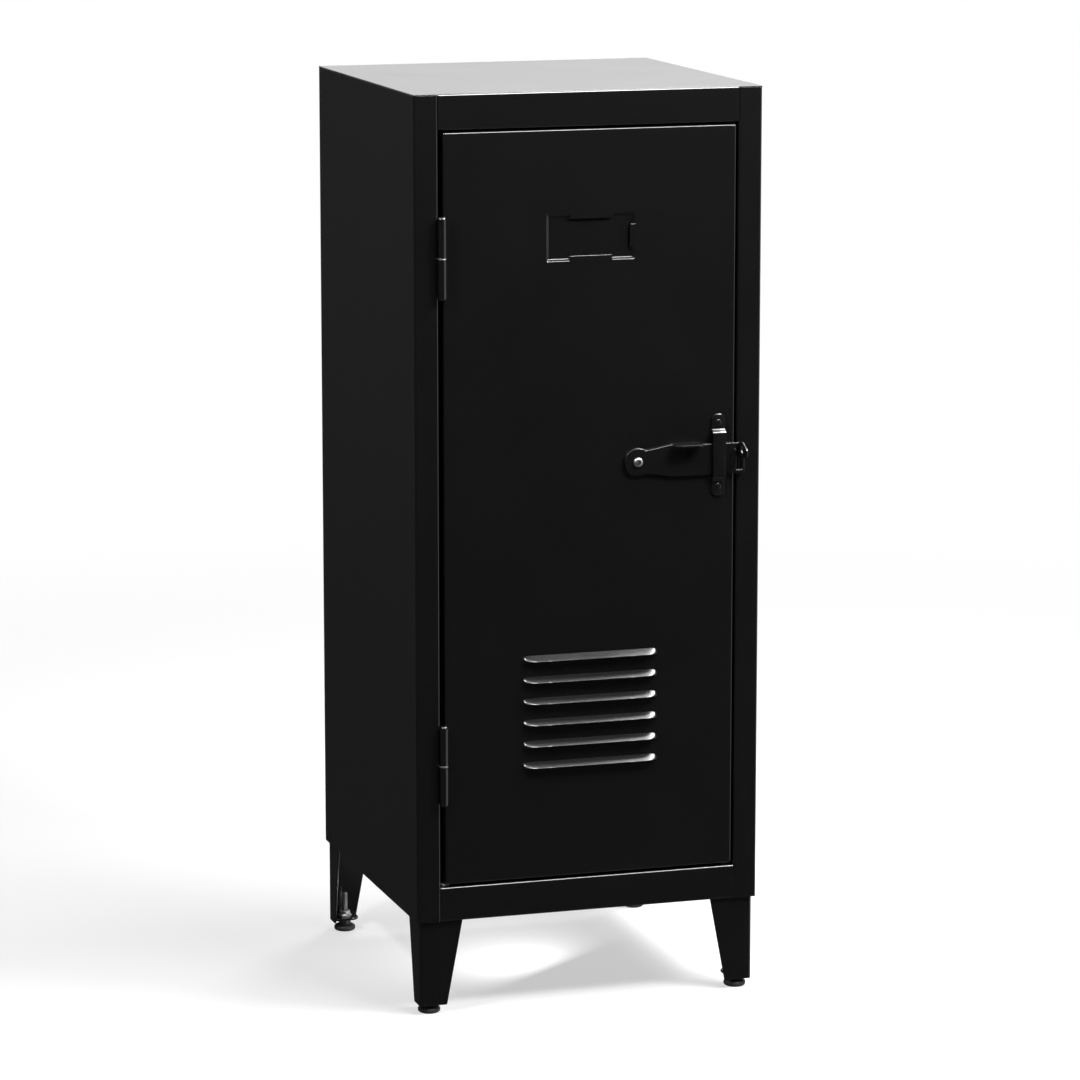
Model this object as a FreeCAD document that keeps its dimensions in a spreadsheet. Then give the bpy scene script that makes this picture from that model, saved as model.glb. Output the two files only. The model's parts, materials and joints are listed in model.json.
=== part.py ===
"""Single-door metal locker on four levelling legs, with a lift latch and a padlock catch."""
import FreeCAD, Part
import Sketcher
import math
import os

# Driving sizes, in millimetres and degrees
SIZES = {
    "locker_width": 350,
    "body_depth": 350,
    "locker_height": 900,
    "leg_visible": 85,
    "foot_drop": 9,
    "sheet": 1,
    "fold_radius": 2,
    "stile_width": 24,
    "header_height": 34,
    "rail_height": 34,
    "return_depth": 21,
    "stop_lip": 12,
    "weld_flange": 15,
    "rail_return": 18,
    "latch_gap": 2.5,
    "top_gap": 2.5,
    "bottom_gap": 3,
    "door_depth": 18,
    "door_lip": 12,
    "louvre_count": 6,
    "louvre_length": 144,
    "louvre_height": 5.2,
    "louvre_reach": 6.5,
    "louvre_round": 40,
    "louvre_pitch": 21.2,
    "louvre_start": 111,
    "card_width": 89.5,
    "card_height": 46.5,
    "card_recess": 2.6,
    "card_slope": 2.2,
    "card_drop": 80.5,
    "card_tab_reach": 5.5,
    "card_tab_length": 43,
    "card_side_tab": 22.5,
    "hinge_length": 80,
    "hinge_offset": 247,
    "barrel_radius": 4,
    "barrel_round": 2.5,
    "hinge_pin_radius": 2.5,
    "hinge_cap": 4,
    "hinge_washer_thick": 1,
    "leaf_thick": 1.8,
    "leaf_play": 1.4,
    "leaf_depth": 14,
    "running_play": 0.05,
    "face_play": 0.1,
    "latch_height": 407.8,
    "latch_inset": 100,
    "arm_thick": 2.2,
    "arm_standoff": 1.2,
    "arm_head_radius": 13.5,
    "arm_neck_half": 9.4,
    "arm_shoulder": 35.5,
    "arm_half": 15.8,
    "arm_relief": 1.4,
    "arm_end_bar": 2.2,
    "arm_slot_bar": 3.5,
    "arm_slot_play": 2,
    "tab_length": 29,
    "tab_reach": 12,
    "tab_corner": 5,
    "pivot_radius": 3,
    "pivot_thread_radius": 2.5,
    "pivot_head_radius": 4.7,
    "pivot_head_height": 2.6,
    "pivot_washer_radius": 8,
    "keeper_offset": 83,
    "keeper_width": 13.2,
    "keeper_thick": 1.8,
    "keeper_clear": 4.6,
    "keeper_riser": 3,
    "keeper_lift": 9.2,
    "keeper_rest": 1.6,
    "keeper_foot": 17,
    "keeper_rivet_radius": 2,
    "keeper_rivet_head": 3.2,
    "keeper_rivet_dome": 0.5,
    "catch_thick": 2,
    "catch_reach": 25.5,
    "catch_barb": 6,
    "catch_neck": 9,
    "catch_drop": 0.5,
    "padlock_radius": 4,
    "leg_inset": 3,
    "leg_thick": 2,
    "leg_wide": 44,
    "leg_narrow": 28,
    "leg_side_wide": 38,
    "leg_side_narrow": 21,
    "leg_corner": 3,
    "foot_tab_size": 26,
    "foot_tab_rise": 3.5,
    "foot_tab_thick": 2.5,
    "foot_tab_round": 9,
    "foot_inset": 13,
    "glide_radius": 11,
    "glide_height": 6.5,
    "foot_collar_radius": 5.8,
    "stud_radius": 3,
    "stud_above_nut": 19,
    "foot_nut_height": 6,
    "foot_nut_flats": 10,
    "foot_nut_flange": 7.1,
    "bolt_radius": 3,
    "bolt_head_radius": 5.2,
    "bolt_head_height": 1.8,
    "bolt_length": 14,
    "bolt_hole_play": 0.3,
    "bolt_near": 9,
    "bolt_far": 28,
    "nut_height": 5,
    "nut_flats": 10,
    "lower_shelf_rise": 255,
    "upper_shelf_rise": 510,
    "shelf_setback": 30,
    "shelf_back_gap": 6,
    "shelf_side_gap": 1.5,
    "shelf_fold": 18,
    "shelf_rail_drop": 20,
    "shelf_rail_ledge": 16,
    "shelf_rail_inset": 6,
    "buffer_radius": 5,
    "buffer_spread": 300,
    "wall_hole_radius": 3.5,
    "wall_hole_spacing": 220,
    "wall_hole_drop": 40,
}

doc = FreeCAD.newDocument("locker")
table = doc.addObject("Spreadsheet::Sheet", "Sizes")
for row, (alias, amount) in enumerate(SIZES.items(), start=1):
    table.set(f"A{row}", alias)
    table.set(f"B{row}", str(amount))
    table.setAlias(f"B{row}", alias)
doc.recompute()


class Size:
    """A length that carries its value and the sheet expression that drives it."""

    def __init__(self, text, value):
        self.text = text
        self.value = value

    def __add__(self, other):
        other = as_size(other)
        return Size(f"({self.text} + {other.text})", self.value + other.value)

    def __sub__(self, other):
        other = as_size(other)
        return Size(f"({self.text} - {other.text})", self.value - other.value)

    def __mul__(self, other):
        other = as_size(other)
        return Size(f"({self.text} * {other.text})", self.value * other.value)

    def __truediv__(self, other):
        other = as_size(other)
        return Size(f"({self.text} / {other.text})", self.value / other.value)

    def __radd__(self, other):
        return as_size(other) + self

    def __rsub__(self, other):
        return as_size(other) - self

    def __rmul__(self, other):
        return as_size(other) * self

    def __neg__(self):
        return Size(f"(0 - {self.text})", -self.value)


def as_size(number):
    """Wrap a plain number so that it can stand beside a driven size."""
    if isinstance(number, Size):
        return number
    return Size(f"({float(number):.6f})", float(number))


def root(size):
    """Square root of a driven size."""
    return Size(f"sqrt({size.text})", math.sqrt(size.value))


def cell(alias):
    """The driven size held in one cell."""
    return Size(f"Sizes.{alias}", float(SIZES[alias]))


# Sketches, features and edges
PLANES = {"XY": "XY_Plane", "XZ": "XZ_Plane", "YZ": "YZ_Plane"}


def bind(thing, prop, size):
    """Drive one property from the sheet."""
    thing.setExpression(prop, as_size(size).text)


def new_body(name, at=None, turn=0):
    """A body with its label, set at a driven place and turned about the upright axis."""
    body = doc.addObject("PartDesign::Body", name)
    body.Label = name
    body.Placement = FreeCAD.Placement(FreeCAD.Vector(), FreeCAD.Rotation(FreeCAD.Vector(0, 0, 1), turn))
    if at:
        for axis, size in zip("xyz", at):
            bind(body, f"Placement.Base.{axis}", size)
    return body


def new_sketch(body, plane, at=(0, 0, 0)):
    """A sketch parallel to an origin plane, with its own origin at a driven point."""
    sketch = body.newObject("Sketcher::SketchObject", f"{body.Name}_sketch")
    role = PLANES[plane]
    support = [feature for feature in body.Origin.OriginFeatures if feature.Role == role][0]
    sketch.AttachmentSupport = (support, [""])
    sketch.MapMode = "FlatFace"
    x, y, z = [as_size(value) for value in at]
    offsets = {"XY": (x, y, z), "XZ": (x, z, -y), "YZ": (y, z, x)}[plane]
    for axis, size in zip("xyz", offsets):
        bind(sketch, f"AttachmentOffset.Base.{axis}", size)
    return sketch


def hold_point(sketch, geometry, end, point):
    """Tie one sketch point to driven coordinates."""
    for kind, size in zip(("DistanceX", "DistanceY"), point):
        size = as_size(size)
        index = sketch.addConstraint(Sketcher.Constraint(kind, -1, 1, geometry, end, size.value))
        label = f"{kind.lower()}{index}"
        sketch.renameConstraint(index, label)
        sketch.setExpression(f"Constraints.{label}", size.text)


def hold_radius(sketch, geometry, radius):
    """Tie the radius of a circle or an arc to a driven size."""
    radius = as_size(radius)
    index = sketch.addConstraint(Sketcher.Constraint("Radius", geometry, radius.value))
    label = f"radius{index}"
    sketch.renameConstraint(index, label)
    sketch.setExpression(f"Constraints.{label}", radius.text)


def flat(point):
    """Starting position of a driven sketch point."""
    return FreeCAD.Vector(as_size(point[0]).value, as_size(point[1]).value, 0)


def polygon(sketch, points):
    """Closed straight-sided outline through driven points."""
    first = sketch.GeometryCount
    count = len(points)
    for start, end in zip(points, points[1:] + points[:1]):
        sketch.addGeometry(Part.LineSegment(flat(start), flat(end)), False)
    for step in range(count):
        following = first + (step + 1) % count
        sketch.addConstraint(Sketcher.Constraint("Coincident", first + step, 2, following, 1))
    for step, point in enumerate(points):
        hold_point(sketch, first + step, 1, point)


def rectangle(sketch, low, high):
    """Upright rectangle between two driven corners."""
    polygon(sketch, [low, (high[0], low[1]), high, (low[0], high[1])])


def circle(sketch, centre, radius):
    """Full circle on a driven centre."""
    geometry = Part.Circle(flat(centre), FreeCAD.Vector(0, 0, 1), as_size(radius).value)
    index = sketch.addGeometry(geometry, False)
    hold_point(sketch, index, 3, centre)
    hold_radius(sketch, index, radius)


def hexagon(sketch, flats):
    """Regular six-sided outline about the sketch origin."""
    corner = flats / math.sqrt(3)
    turns = [math.radians(60 * step) for step in range(6)]
    polygon(sketch, [(corner * math.cos(turn), corner * math.sin(turn)) for turn in turns])


def grow(body, kind, sketch, length, flip=False):
    """Pad or pocket of a sketch; a pad runs along the sketch normal and a pocket against it."""
    feature = body.newObject(f"PartDesign::{kind}", f"{body.Name}_{kind.lower()}")
    feature.Profile = sketch
    feature.Reversed = flip
    bind(feature, "Length", length)
    sketch.Visibility = False
    doc.recompute()
    return feature


def pad(body, sketch, length, flip=False):
    return grow(body, "Pad", sketch, length, flip)


def pocket(body, sketch, length, flip=False):
    before = body.Shape.Volume
    feature = grow(body, "Pocket", sketch, length, flip)
    if before - body.Shape.Volume < 1e-6:
        raise ValueError(f"{body.Label}: a pocket removed nothing")
    return feature


def loft(body, kind, start, end):
    """Loft between two sketches, added or taken away."""
    feature = body.newObject(f"PartDesign::{kind}", f"{body.Name}_{kind.lower()}")
    feature.Profile = start
    feature.Sections = [end]
    feature.Ruled = True
    start.Visibility = False
    end.Visibility = False
    doc.recompute()
    return feature


def spin(body, kind, sketch, axis, angle=360, flip=False):
    """Revolution or groove about one axis of its sketch."""
    feature = body.newObject(f"PartDesign::{kind}", f"{body.Name}_{kind.lower()}")
    feature.Profile = sketch
    feature.ReferenceAxis = (sketch, [axis])
    feature.Reversed = flip
    feature.Angle = angle
    sketch.Visibility = False
    doc.recompute()
    return feature


def edges_along(feature, axis, spots):
    """Names of the straight edges that run along an axis through the given spots."""
    lead = "XYZ".index(axis)
    others = [index for index in range(3) if index != lead]
    wanted = [[as_size(value).value for value in spot] for spot in spots]
    names = []
    for number, edge in enumerate(feature.Shape.Edges, start=1):
        if edge.Curve.TypeId != "Part::GeomLine" or abs(abs(edge.Curve.Direction[lead]) - 1) > 1e-6:
            continue
        middle = edge.CenterOfMass
        for spot in wanted:
            if all(abs(middle[index] - value) < 1e-3 for index, value in zip(others, spot)):
                names.append(f"Edge{number}")
    return names


def round_edges(body, names, radius):
    """Fillet named edges of the body's last feature."""
    if not names:
        raise ValueError(f"{body.Label}: no edge to round")
    base = body.Tip
    feature = body.newObject("PartDesign::Fillet", f"{body.Name}_round")
    feature.Base = (base, names)
    bind(feature, "Radius", radius)
    doc.recompute()
    return feature


def round_last(body, axis, spots, radius):
    """Fillet the straight edges of the body's tip that run along an axis through the spots."""
    return round_edges(body, edges_along(body.Tip, axis, spots), radius)


def folded(body, plane, at, outer, inner, length, axis, outside, inside, flip=False):
    """Folded sheet: a profile with its bends rounded on both faces."""
    sketch = new_sketch(body, plane, at)
    polygon(sketch, outer + inner[::-1])
    pad(body, sketch, length, flip)
    round_last(body, axis, outside, fold_radius)
    round_last(body, axis, inside, fold_radius - sheet)


def group(name, members):
    """Identical pieces kept as separate solids of one node."""
    compound = doc.addObject("Part::Compound", name)
    compound.Label = name
    compound.Links = members
    return compound


nodes = []


def keep(piece):
    """Add a finished piece to the ones written out."""
    nodes.append(piece)
    return piece


# Positions that several pieces share
sheet = cell("sheet")
fold_radius = cell("fold_radius")
half = cell("locker_width") / 2
front = (cell("catch_reach") - cell("body_depth")) / 2
back = front + cell("body_depth")
top = cell("locker_height")
body_bottom = cell("foot_drop") + cell("leg_visible")
left_inner = cell("stile_width") - half
right_inner = half - cell("stile_width")
floor_top = body_bottom + cell("rail_height")
head_low = top - cell("header_height")
stop = front + cell("return_depth")
hinge_gap = cell("leaf_thick") * 2 + cell("leaf_play")
door_left = left_inner + hinge_gap
door_right = right_inner - cell("latch_gap")
door_low = floor_top + cell("bottom_gap")
door_high = head_low - cell("top_gap")
door_mid_x = (door_left + door_right) / 2
door_mid_z = (door_low + door_high) / 2
hinge_x = left_inner + hinge_gap / 2
hinge_y = front - cell("barrel_radius")
pivot_x = door_right - cell("latch_inset")
pivot_z = door_low + cell("latch_height")
arm_back = cell("arm_standoff") + cell("face_play")
arm_front = arm_back + cell("arm_thick")
catch_x = right_inner + sheet
catch_low = cell("arm_half") - cell("arm_relief") - cell("arm_slot_bar")
catch_low = catch_low - cell("catch_drop") - cell("catch_neck")
catch_high = catch_low + cell("catch_neck")
foot_spot = cell("leg_inset") + cell("foot_inset")
FEET = {
    "front_left": (-1, 1, 0),
    "front_right": (1, 1, 90),
    "back_right": (1, -1, 180),
    "back_left": (-1, -1, 270),
}


def corner(side_x, side_y, inset_x, inset_y):
    """Driven point set in from one corner of the body's outline."""
    x = (half - inset_x) * side_x
    y = front + inset_y if side_y > 0 else back - inset_y
    return x, y


# Cabinet panels
def side_panel(name, side):
    """Folded side with its stile, return and door stop; side is -1 for left and 1 for right."""
    body = new_body(name)
    stile = half - cell("stile_width")
    lip = stile - cell("stop_lip")
    outer = [
        ((half - cell("weld_flange")) * side, back),
        (half * side, back),
        (half * side, front),
        (stile * side, front),
        (stile * side, stop),
        (lip * side, stop),
    ]
    inner = [
        ((half - cell("weld_flange")) * side, back - sheet),
        ((half - sheet) * side, back - sheet),
        ((half - sheet) * side, front + sheet),
        ((stile + sheet) * side, front + sheet),
        ((stile + sheet) * side, stop + sheet),
        (lip * side, stop + sheet),
    ]
    outside = outer[1:4] + inner[4:5]
    inside = inner[1:4] + outer[4:5]
    folded(body, "XY", (0, 0, body_bottom), outer, inner, top - sheet - body_bottom, "Z", outside, inside)
    flange = new_sketch(body, "XY", (0, 0, top - sheet))
    rectangle(
        flange,
        ((half - cell("weld_flange")) * side, stop + sheet * 2),
        ((half - sheet / 2) * side, back - sheet * 3),
    )
    pad(body, flange, sheet, True)
    notch = new_sketch(body, "XZ", (0, front + fold_radius, 0))
    rectangle(
        notch,
        ((stile + sheet * 2) * side, body_bottom - sheet),
        ((lip - sheet) * side, floor_top),
    )
    pocket(body, notch, cell("return_depth"))
    head_notch = new_sketch(body, "XZ", (0, stop - fold_radius, 0))
    rectangle(
        head_notch,
        (stile * side, head_low - cell("stop_lip")),
        ((lip - sheet) * side, top),
    )
    pocket(body, head_notch, fold_radius * 2)
    return body


def right_side_panel():
    """Right side with the slit that the catch comes out of."""
    body = side_panel("right_side_panel", 1)
    slit = new_sketch(body, "XZ", (catch_x, front - sheet, pivot_z))
    play = cell("face_play")
    rectangle(slit, (-play, catch_low - play), (cell("catch_thick") + play, catch_high + play))
    pocket(body, slit, sheet + fold_radius + sheet)
    return body


def top_panel():
    """Top sheet with its header folded down between the stiles and a flange at the back."""
    body = new_body("top_panel")
    outer = [
        (back, top - cell("weld_flange")),
        (back, top),
        (front, top),
        (front, head_low),
        (stop, head_low),
        (stop, head_low - cell("stop_lip")),
    ]
    inner = [
        (back - sheet, top - cell("weld_flange")),
        (back - sheet, top - sheet),
        (front + sheet, top - sheet),
        (front + sheet, head_low + sheet),
        (stop + sheet, head_low + sheet),
        (stop + sheet, head_low - cell("stop_lip")),
    ]
    outside = outer[1:4] + inner[4:5]
    inside = inner[1:4] + outer[4:5]
    folded(body, "YZ", (left_inner, 0, 0), outer, inner, right_inner * 2, "X", outside, inside)
    wings = new_sketch(body, "XY", (0, 0, top))
    rectangle(wings, (-half, front), (left_inner, back))
    rectangle(wings, (right_inner, front), (half, back))
    pad(body, wings, sheet, True)
    return body


def bottom_panel():
    """Locker floor: rail folded down at the front, upstand at the back, holes for the leg bolts."""
    body = new_body("bottom_panel")
    rear = back - sheet * 2
    outer = [
        (front + cell("rail_return"), body_bottom),
        (front, body_bottom),
        (front, floor_top),
        (rear - sheet, floor_top),
        (rear - sheet, floor_top + cell("weld_flange")),
    ]
    inner = [
        (front + cell("rail_return"), body_bottom + sheet),
        (front + sheet, body_bottom + sheet),
        (front + sheet, floor_top - sheet),
        (rear, floor_top - sheet),
        (rear, floor_top + cell("weld_flange")),
    ]
    outside = outer[1:3] + inner[3:4]
    inside = inner[1:3] + outer[3:4]
    folded(body, "YZ", (left_inner, 0, 0), outer, inner, right_inner * 2, "X", outside, inside)
    wings = new_sketch(body, "XY", (0, 0, floor_top))
    wing_front = stop + sheet * 2
    wing_back = rear - fold_radius
    rectangle(wings, (sheet - half, wing_front), (left_inner, wing_back))
    rectangle(wings, (right_inner, wing_front), (half - sheet, wing_back))
    pad(body, wings, sheet, True)
    flanges = new_sketch(body, "XY", (0, 0, floor_top - sheet))
    rectangle(flanges, (sheet - half, wing_front), (sheet * 2 - half, wing_back))
    rectangle(flanges, (half - sheet * 2, wing_front), (half - sheet, wing_back))
    pad(body, flanges, cell("weld_flange") - sheet, True)
    relief = new_sketch(body, "XZ", (0, front + fold_radius, 0))
    leg_end = half - cell("leg_inset") - cell("leg_wide") - fold_radius
    rectangle(relief, (left_inner - sheet, body_bottom - sheet), (-leg_end, body_bottom + sheet * 2))
    rectangle(relief, (leg_end, body_bottom - sheet), (right_inner + sheet, body_bottom + sheet * 2))
    pocket(body, relief, cell("rail_return"))
    holes = new_sketch(body, "XY", (0, 0, floor_top))
    for spot in bolt_spots():
        circle(holes, spot, cell("bolt_radius") + cell("bolt_hole_play"))
    pocket(body, holes, sheet * 2)
    return body


def back_panel():
    """Flat back sheet inside the side flanges, with two wall-fixing holes."""
    body = new_body("back_panel")
    sketch = new_sketch(body, "XZ", (0, back - sheet * 2, 0))
    edge = half - fold_radius - cell("face_play")
    rectangle(sketch, (-edge, body_bottom + sheet), (edge, top - sheet * 2))
    height = top - cell("wall_hole_drop")
    for side in (-1, 1):
        circle(sketch, (cell("wall_hole_spacing") / 2 * side, height), cell("wall_hole_radius"))
    pad(body, sketch, sheet, True)
    return body


# Shelves
def shelf(name, rise):
    """Flat shelf with its front and back edges folded down."""
    body = new_body(name)
    level = floor_top + rise
    near = front + cell("shelf_setback")
    far = back - cell("shelf_back_gap")
    low = level - cell("shelf_fold")
    wide = half - sheet - cell("shelf_side_gap")
    outer = [(near, low), (near, level), (far, level), (far, low)]
    inner = [
        (near + sheet, low),
        (near + sheet, level - sheet),
        (far - sheet, level - sheet),
        (far - sheet, low),
    ]
    folded(body, "YZ", (-wide, 0, 0), outer, inner, wide * 2, "X", outer[1:3], inner[1:3])
    gap = cell("shelf_rail_ledge") + sheet * 2
    ends = new_sketch(body, "XZ", (0, near - sheet, 0))
    for side in (-1, 1):
        rectangle(ends, ((wide + sheet) * side, low - sheet), ((half - gap) * side, level - fold_radius))
    pocket(body, ends, far - near + sheet * 2)
    return body


def shelf_rail(name, side, rise):
    """Angle welded to the inside of a side panel, with the shelf on its ledge."""
    body = new_body(name)
    level = floor_top + rise - sheet
    wall = half - sheet
    ledge = wall - cell("shelf_rail_ledge")
    near = front + cell("shelf_setback") + cell("shelf_rail_inset")
    far = back - cell("shelf_back_gap") - cell("shelf_rail_inset")
    outer = [
        (ledge * side, level),
        (wall * side, level),
        (wall * side, level - cell("shelf_rail_drop")),
    ]
    inner = [
        (ledge * side, level - sheet),
        ((wall - sheet) * side, level - sheet),
        ((wall - sheet) * side, level - cell("shelf_rail_drop")),
    ]
    folded(body, "XZ", (0, near, 0), outer, inner, far - near, "Y", outer[1:2], inner[1:2], True)
    return body


# Legs and levelling feet
def leg_taper(wide, narrow, rise):
    """Outline of one leg flange: straight behind the body, tapered below it."""
    return [(0, 0), (narrow, 0), (wide, cell("leg_visible")), (wide, rise), (0, rise)]


def leg(name, side_x, side_y, turn):
    """Tapered angle leg with a top flange and a foot tab."""
    x, y = corner(side_x, side_y, cell("leg_inset"), cell("leg_inset"))
    body = new_body(name, (x, y, cell("foot_drop")), turn)
    rise = floor_top - sheet - cell("foot_drop")
    thick = cell("leg_thick")
    spans = [
        (cell("leg_wide"), cell("leg_narrow")),
        (cell("leg_side_wide"), cell("leg_side_narrow")),
    ]
    if turn % 180:
        spans.reverse()
    (across_wide, across_narrow), (along_wide, along_narrow) = spans
    across = new_sketch(body, "XZ")
    polygon(across, leg_taper(across_wide, across_narrow, rise))
    pad(body, across, thick, True)
    along = new_sketch(body, "YZ")
    polygon(along, leg_taper(along_wide, along_narrow, rise))
    pad(body, along, thick)
    round_last(body, "Z", [(0, 0)], cell("leg_corner"))
    round_last(body, "Z", [(thick, thick)], cell("leg_corner") - thick)
    skin = thick / 2
    cut_back = cell("bolt_near") * 1.6
    flange = new_sketch(body, "XY", (0, 0, rise))
    polygon(
        flange,
        [
            (skin, skin),
            (across_wide, skin),
            (across_wide, cut_back),
            (cut_back, along_wide),
            (skin, along_wide),
        ],
    )
    pad(body, flange, thick, True)
    tab = new_sketch(body, "XY", (0, 0, cell("foot_tab_rise")))
    reach = cell("foot_tab_size")
    rectangle(tab, (skin, skin), (reach, reach))
    pad(body, tab, cell("foot_tab_thick"))
    round_last(body, "Z", [(reach, reach)], cell("foot_tab_round"))
    holes = new_sketch(body, "XY", (0, 0, rise))
    for spot in ((cell("bolt_far"), cell("bolt_near")), (cell("bolt_near"), cell("bolt_far"))):
        circle(holes, spot, cell("bolt_radius") + cell("bolt_hole_play"))
    pocket(body, holes, thick)
    stud_hole = new_sketch(body, "XY", (0, 0, cell("foot_tab_rise") + cell("foot_tab_thick")))
    circle(stud_hole, (cell("foot_inset"), cell("foot_inset")), cell("stud_radius") + cell("bolt_hole_play"))
    pocket(body, stud_hole, cell("foot_tab_thick"))
    return body


def foot_place(side_x, side_y, height):
    """Axis of one levelling foot at a given height."""
    x, y = corner(side_x, side_y, foot_spot, foot_spot)
    return x, y, height


def foot_glide(name, side_x, side_y):
    """Round glide with a bevelled rim and the hex collar that it is turned by."""
    body = new_body(name, foot_place(side_x, side_y, 0))
    radius = cell("glide_radius")
    height = cell("glide_height")
    sketch = new_sketch(body, "XZ")
    polygon(
        sketch,
        [
            (0, 0),
            (radius * 0.88, 0),
            (radius, height * 0.22),
            (radius, height * 0.62),
            (radius * 0.72, height),
            (0, height),
        ],
    )
    spin(body, "Revolution", sketch, "V_Axis")
    collar = new_sketch(body, "XY", (0, 0, height))
    hexagon(collar, cell("foot_collar_radius") * 2)
    pad(body, collar, cell("foot_drop") + cell("foot_tab_rise") - height - cell("face_play"))
    bore = new_sketch(body, "XY", (0, 0, cell("foot_drop") + cell("foot_tab_rise")))
    circle(bore, (0, 0), cell("stud_radius"))
    pocket(body, bore, cell("foot_drop") + cell("foot_tab_rise") - height / 2)
    return body


def foot_stud(name, side_x, side_y):
    """Threaded stud moulded into the glide and screwed through the weld nut."""
    body = new_body(name, foot_place(side_x, side_y, cell("glide_height") / 2))
    tab_top = cell("foot_drop") + cell("foot_tab_rise") + cell("foot_tab_thick")
    length = tab_top + cell("foot_nut_height") + cell("stud_above_nut") - cell("glide_height") / 2
    radius = cell("stud_radius")
    sketch = new_sketch(body, "XZ")
    polygon(
        sketch,
        [
            (0, 0),
            (radius, 0),
            (radius, length - radius * 0.3),
            (radius * 0.7, length),
            (0, length),
        ],
    )
    spin(body, "Revolution", sketch, "V_Axis")
    return body


def flanged_nut(name, side_x, side_y):
    """Weld nut on top of a foot tab."""
    level = cell("foot_drop") + cell("foot_tab_rise") + cell("foot_tab_thick")
    body = new_body(name, foot_place(side_x, side_y, level))
    height = cell("foot_nut_height")
    rim = cell("foot_nut_flange")
    hexed = new_sketch(body, "XY")
    hexagon(hexed, cell("foot_nut_flats"))
    pad(body, hexed, height)
    skirt = new_sketch(body, "XZ")
    waist = cell("foot_nut_flats") / 2
    polygon(skirt, [(0, 0), (rim, 0), (rim, height * 0.2), (waist, height * 0.42), (0, height * 0.42)])
    spin(body, "Revolution", skirt, "V_Axis")
    bore = new_sketch(body, "XY", (0, 0, height))
    circle(bore, (0, 0), cell("stud_radius") + cell("running_play"))
    pocket(body, bore, height)
    return body


def bolt_spots():
    """Axes of the leg bolts, two on each leg."""
    near = cell("leg_inset") + cell("bolt_near")
    far = cell("leg_inset") + cell("bolt_far")
    spots = []
    for side_x, side_y, turn in FEET.values():
        spots.append(corner(side_x, side_y, near, far))
        spots.append(corner(side_x, side_y, far, near))
    return spots


def button_screw(name, at, turn, head_radius, head_height, steps):
    """Domed socket screw pointing down its local axis; steps are its shank radii and lengths."""
    body = new_body(name, at)
    if turn:
        body.Placement.Rotation = FreeCAD.Rotation(FreeCAD.Vector(1, 0, 0), turn)
    outline = [
        (0, head_height),
        (head_radius * 0.55, head_height),
        (head_radius * 0.86, head_height * 0.68),
        (head_radius, head_height * 0.2),
        (head_radius, 0),
    ]
    depth = as_size(0)
    for radius, length in steps:
        outline.append((radius, -depth))
        depth = depth + length
        outline.append((radius, -depth))
    outline.append((0, -depth))
    sketch = new_sketch(body, "XZ")
    polygon(sketch, outline)
    spin(body, "Revolution", sketch, "V_Axis")
    socket = new_sketch(body, "XY", (0, 0, head_height))
    hexagon(socket, head_radius * 0.62)
    pocket(body, socket, head_height * 0.6)
    return body


def plain_nut(name, at, turn, flats, height, bore_radius):
    """Hexagon nut below its local origin."""
    body = new_body(name, at)
    if turn:
        body.Placement.Rotation = FreeCAD.Rotation(FreeCAD.Vector(1, 0, 0), turn)
    sketch = new_sketch(body, "XY")
    hexagon(sketch, flats)
    circle(sketch, (0, 0), bore_radius)
    pad(body, sketch, height, True)
    return body


# Hinges
def hinge_leaf(name, centre_z, side):
    """Rolled knuckle and its leaf; side is -1 for the frame, below, and 1 for the door, above."""
    body = new_body(name, (hinge_x, hinge_y, centre_z))
    radius = cell("barrel_radius")
    bore = cell("hinge_pin_radius")
    start = cell("hinge_washer_thick") / 2
    if side > 0:
        bore = bore + cell("running_play")
        start = start + cell("face_play")
    end = cell("hinge_length") / 2
    sketch = new_sketch(body, "XZ")
    polygon(
        sketch,
        [
            (bore, start * side),
            (radius, start * side),
            (radius, end * side),
            (0, end * side),
            (0, (end - cell("hinge_cap")) * side),
            (bore, (end - cell("hinge_cap")) * side),
        ],
    )
    spin(body, "Revolution", sketch, "V_Axis")
    level = end.value * side
    rims = []
    for number, edge in enumerate(body.Tip.Shape.Edges, start=1):
        if abs(edge.BoundBox.ZMin - level) < 1e-6 and edge.BoundBox.ZLength < 1e-6:
            if edge.Curve.TypeId == "Part::GeomCircle":
                rims.append(f"Edge{number}")
    round_edges(body, rims, cell("barrel_round"))
    plate = new_sketch(body, "XY", (0, 0, start * side))
    outer_x = hinge_gap / 2 * side
    inner_x = (hinge_gap / 2 - cell("leaf_thick")) * side
    rectangle(plate, (outer_x, bore), (inner_x, radius + cell("leaf_depth")))
    pad(body, plate, end - cell("barrel_round") - start, side < 0)
    return body


def hinge_pin(name, centre_z):
    """Pin pressed into the frame knuckle and running in the door knuckle."""
    body = new_body(name, (hinge_x, hinge_y, centre_z))
    reach = cell("hinge_length") / 2 - cell("hinge_cap")
    radius = cell("hinge_pin_radius")
    upper = reach - cell("hinge_washer_thick")
    sketch = new_sketch(body, "XZ")
    polygon(
        sketch,
        [
            (0, -reach),
            (radius, -reach),
            (radius, upper - radius * 0.4),
            (radius * 0.6, upper),
            (0, upper),
        ],
    )
    spin(body, "Revolution", sketch, "V_Axis")
    return body


def hinge_washer(name, centre_z):
    """Bright washer between the two knuckles."""
    body = new_body(name, (hinge_x, hinge_y, centre_z))
    thick = cell("hinge_washer_thick")
    sketch = new_sketch(body, "XY", (0, 0, -thick / 2))
    circle(sketch, (0, 0), cell("barrel_radius"))
    circle(sketch, (0, 0), cell("hinge_pin_radius") + cell("running_play"))
    pad(body, sketch, thick)
    return body


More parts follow.
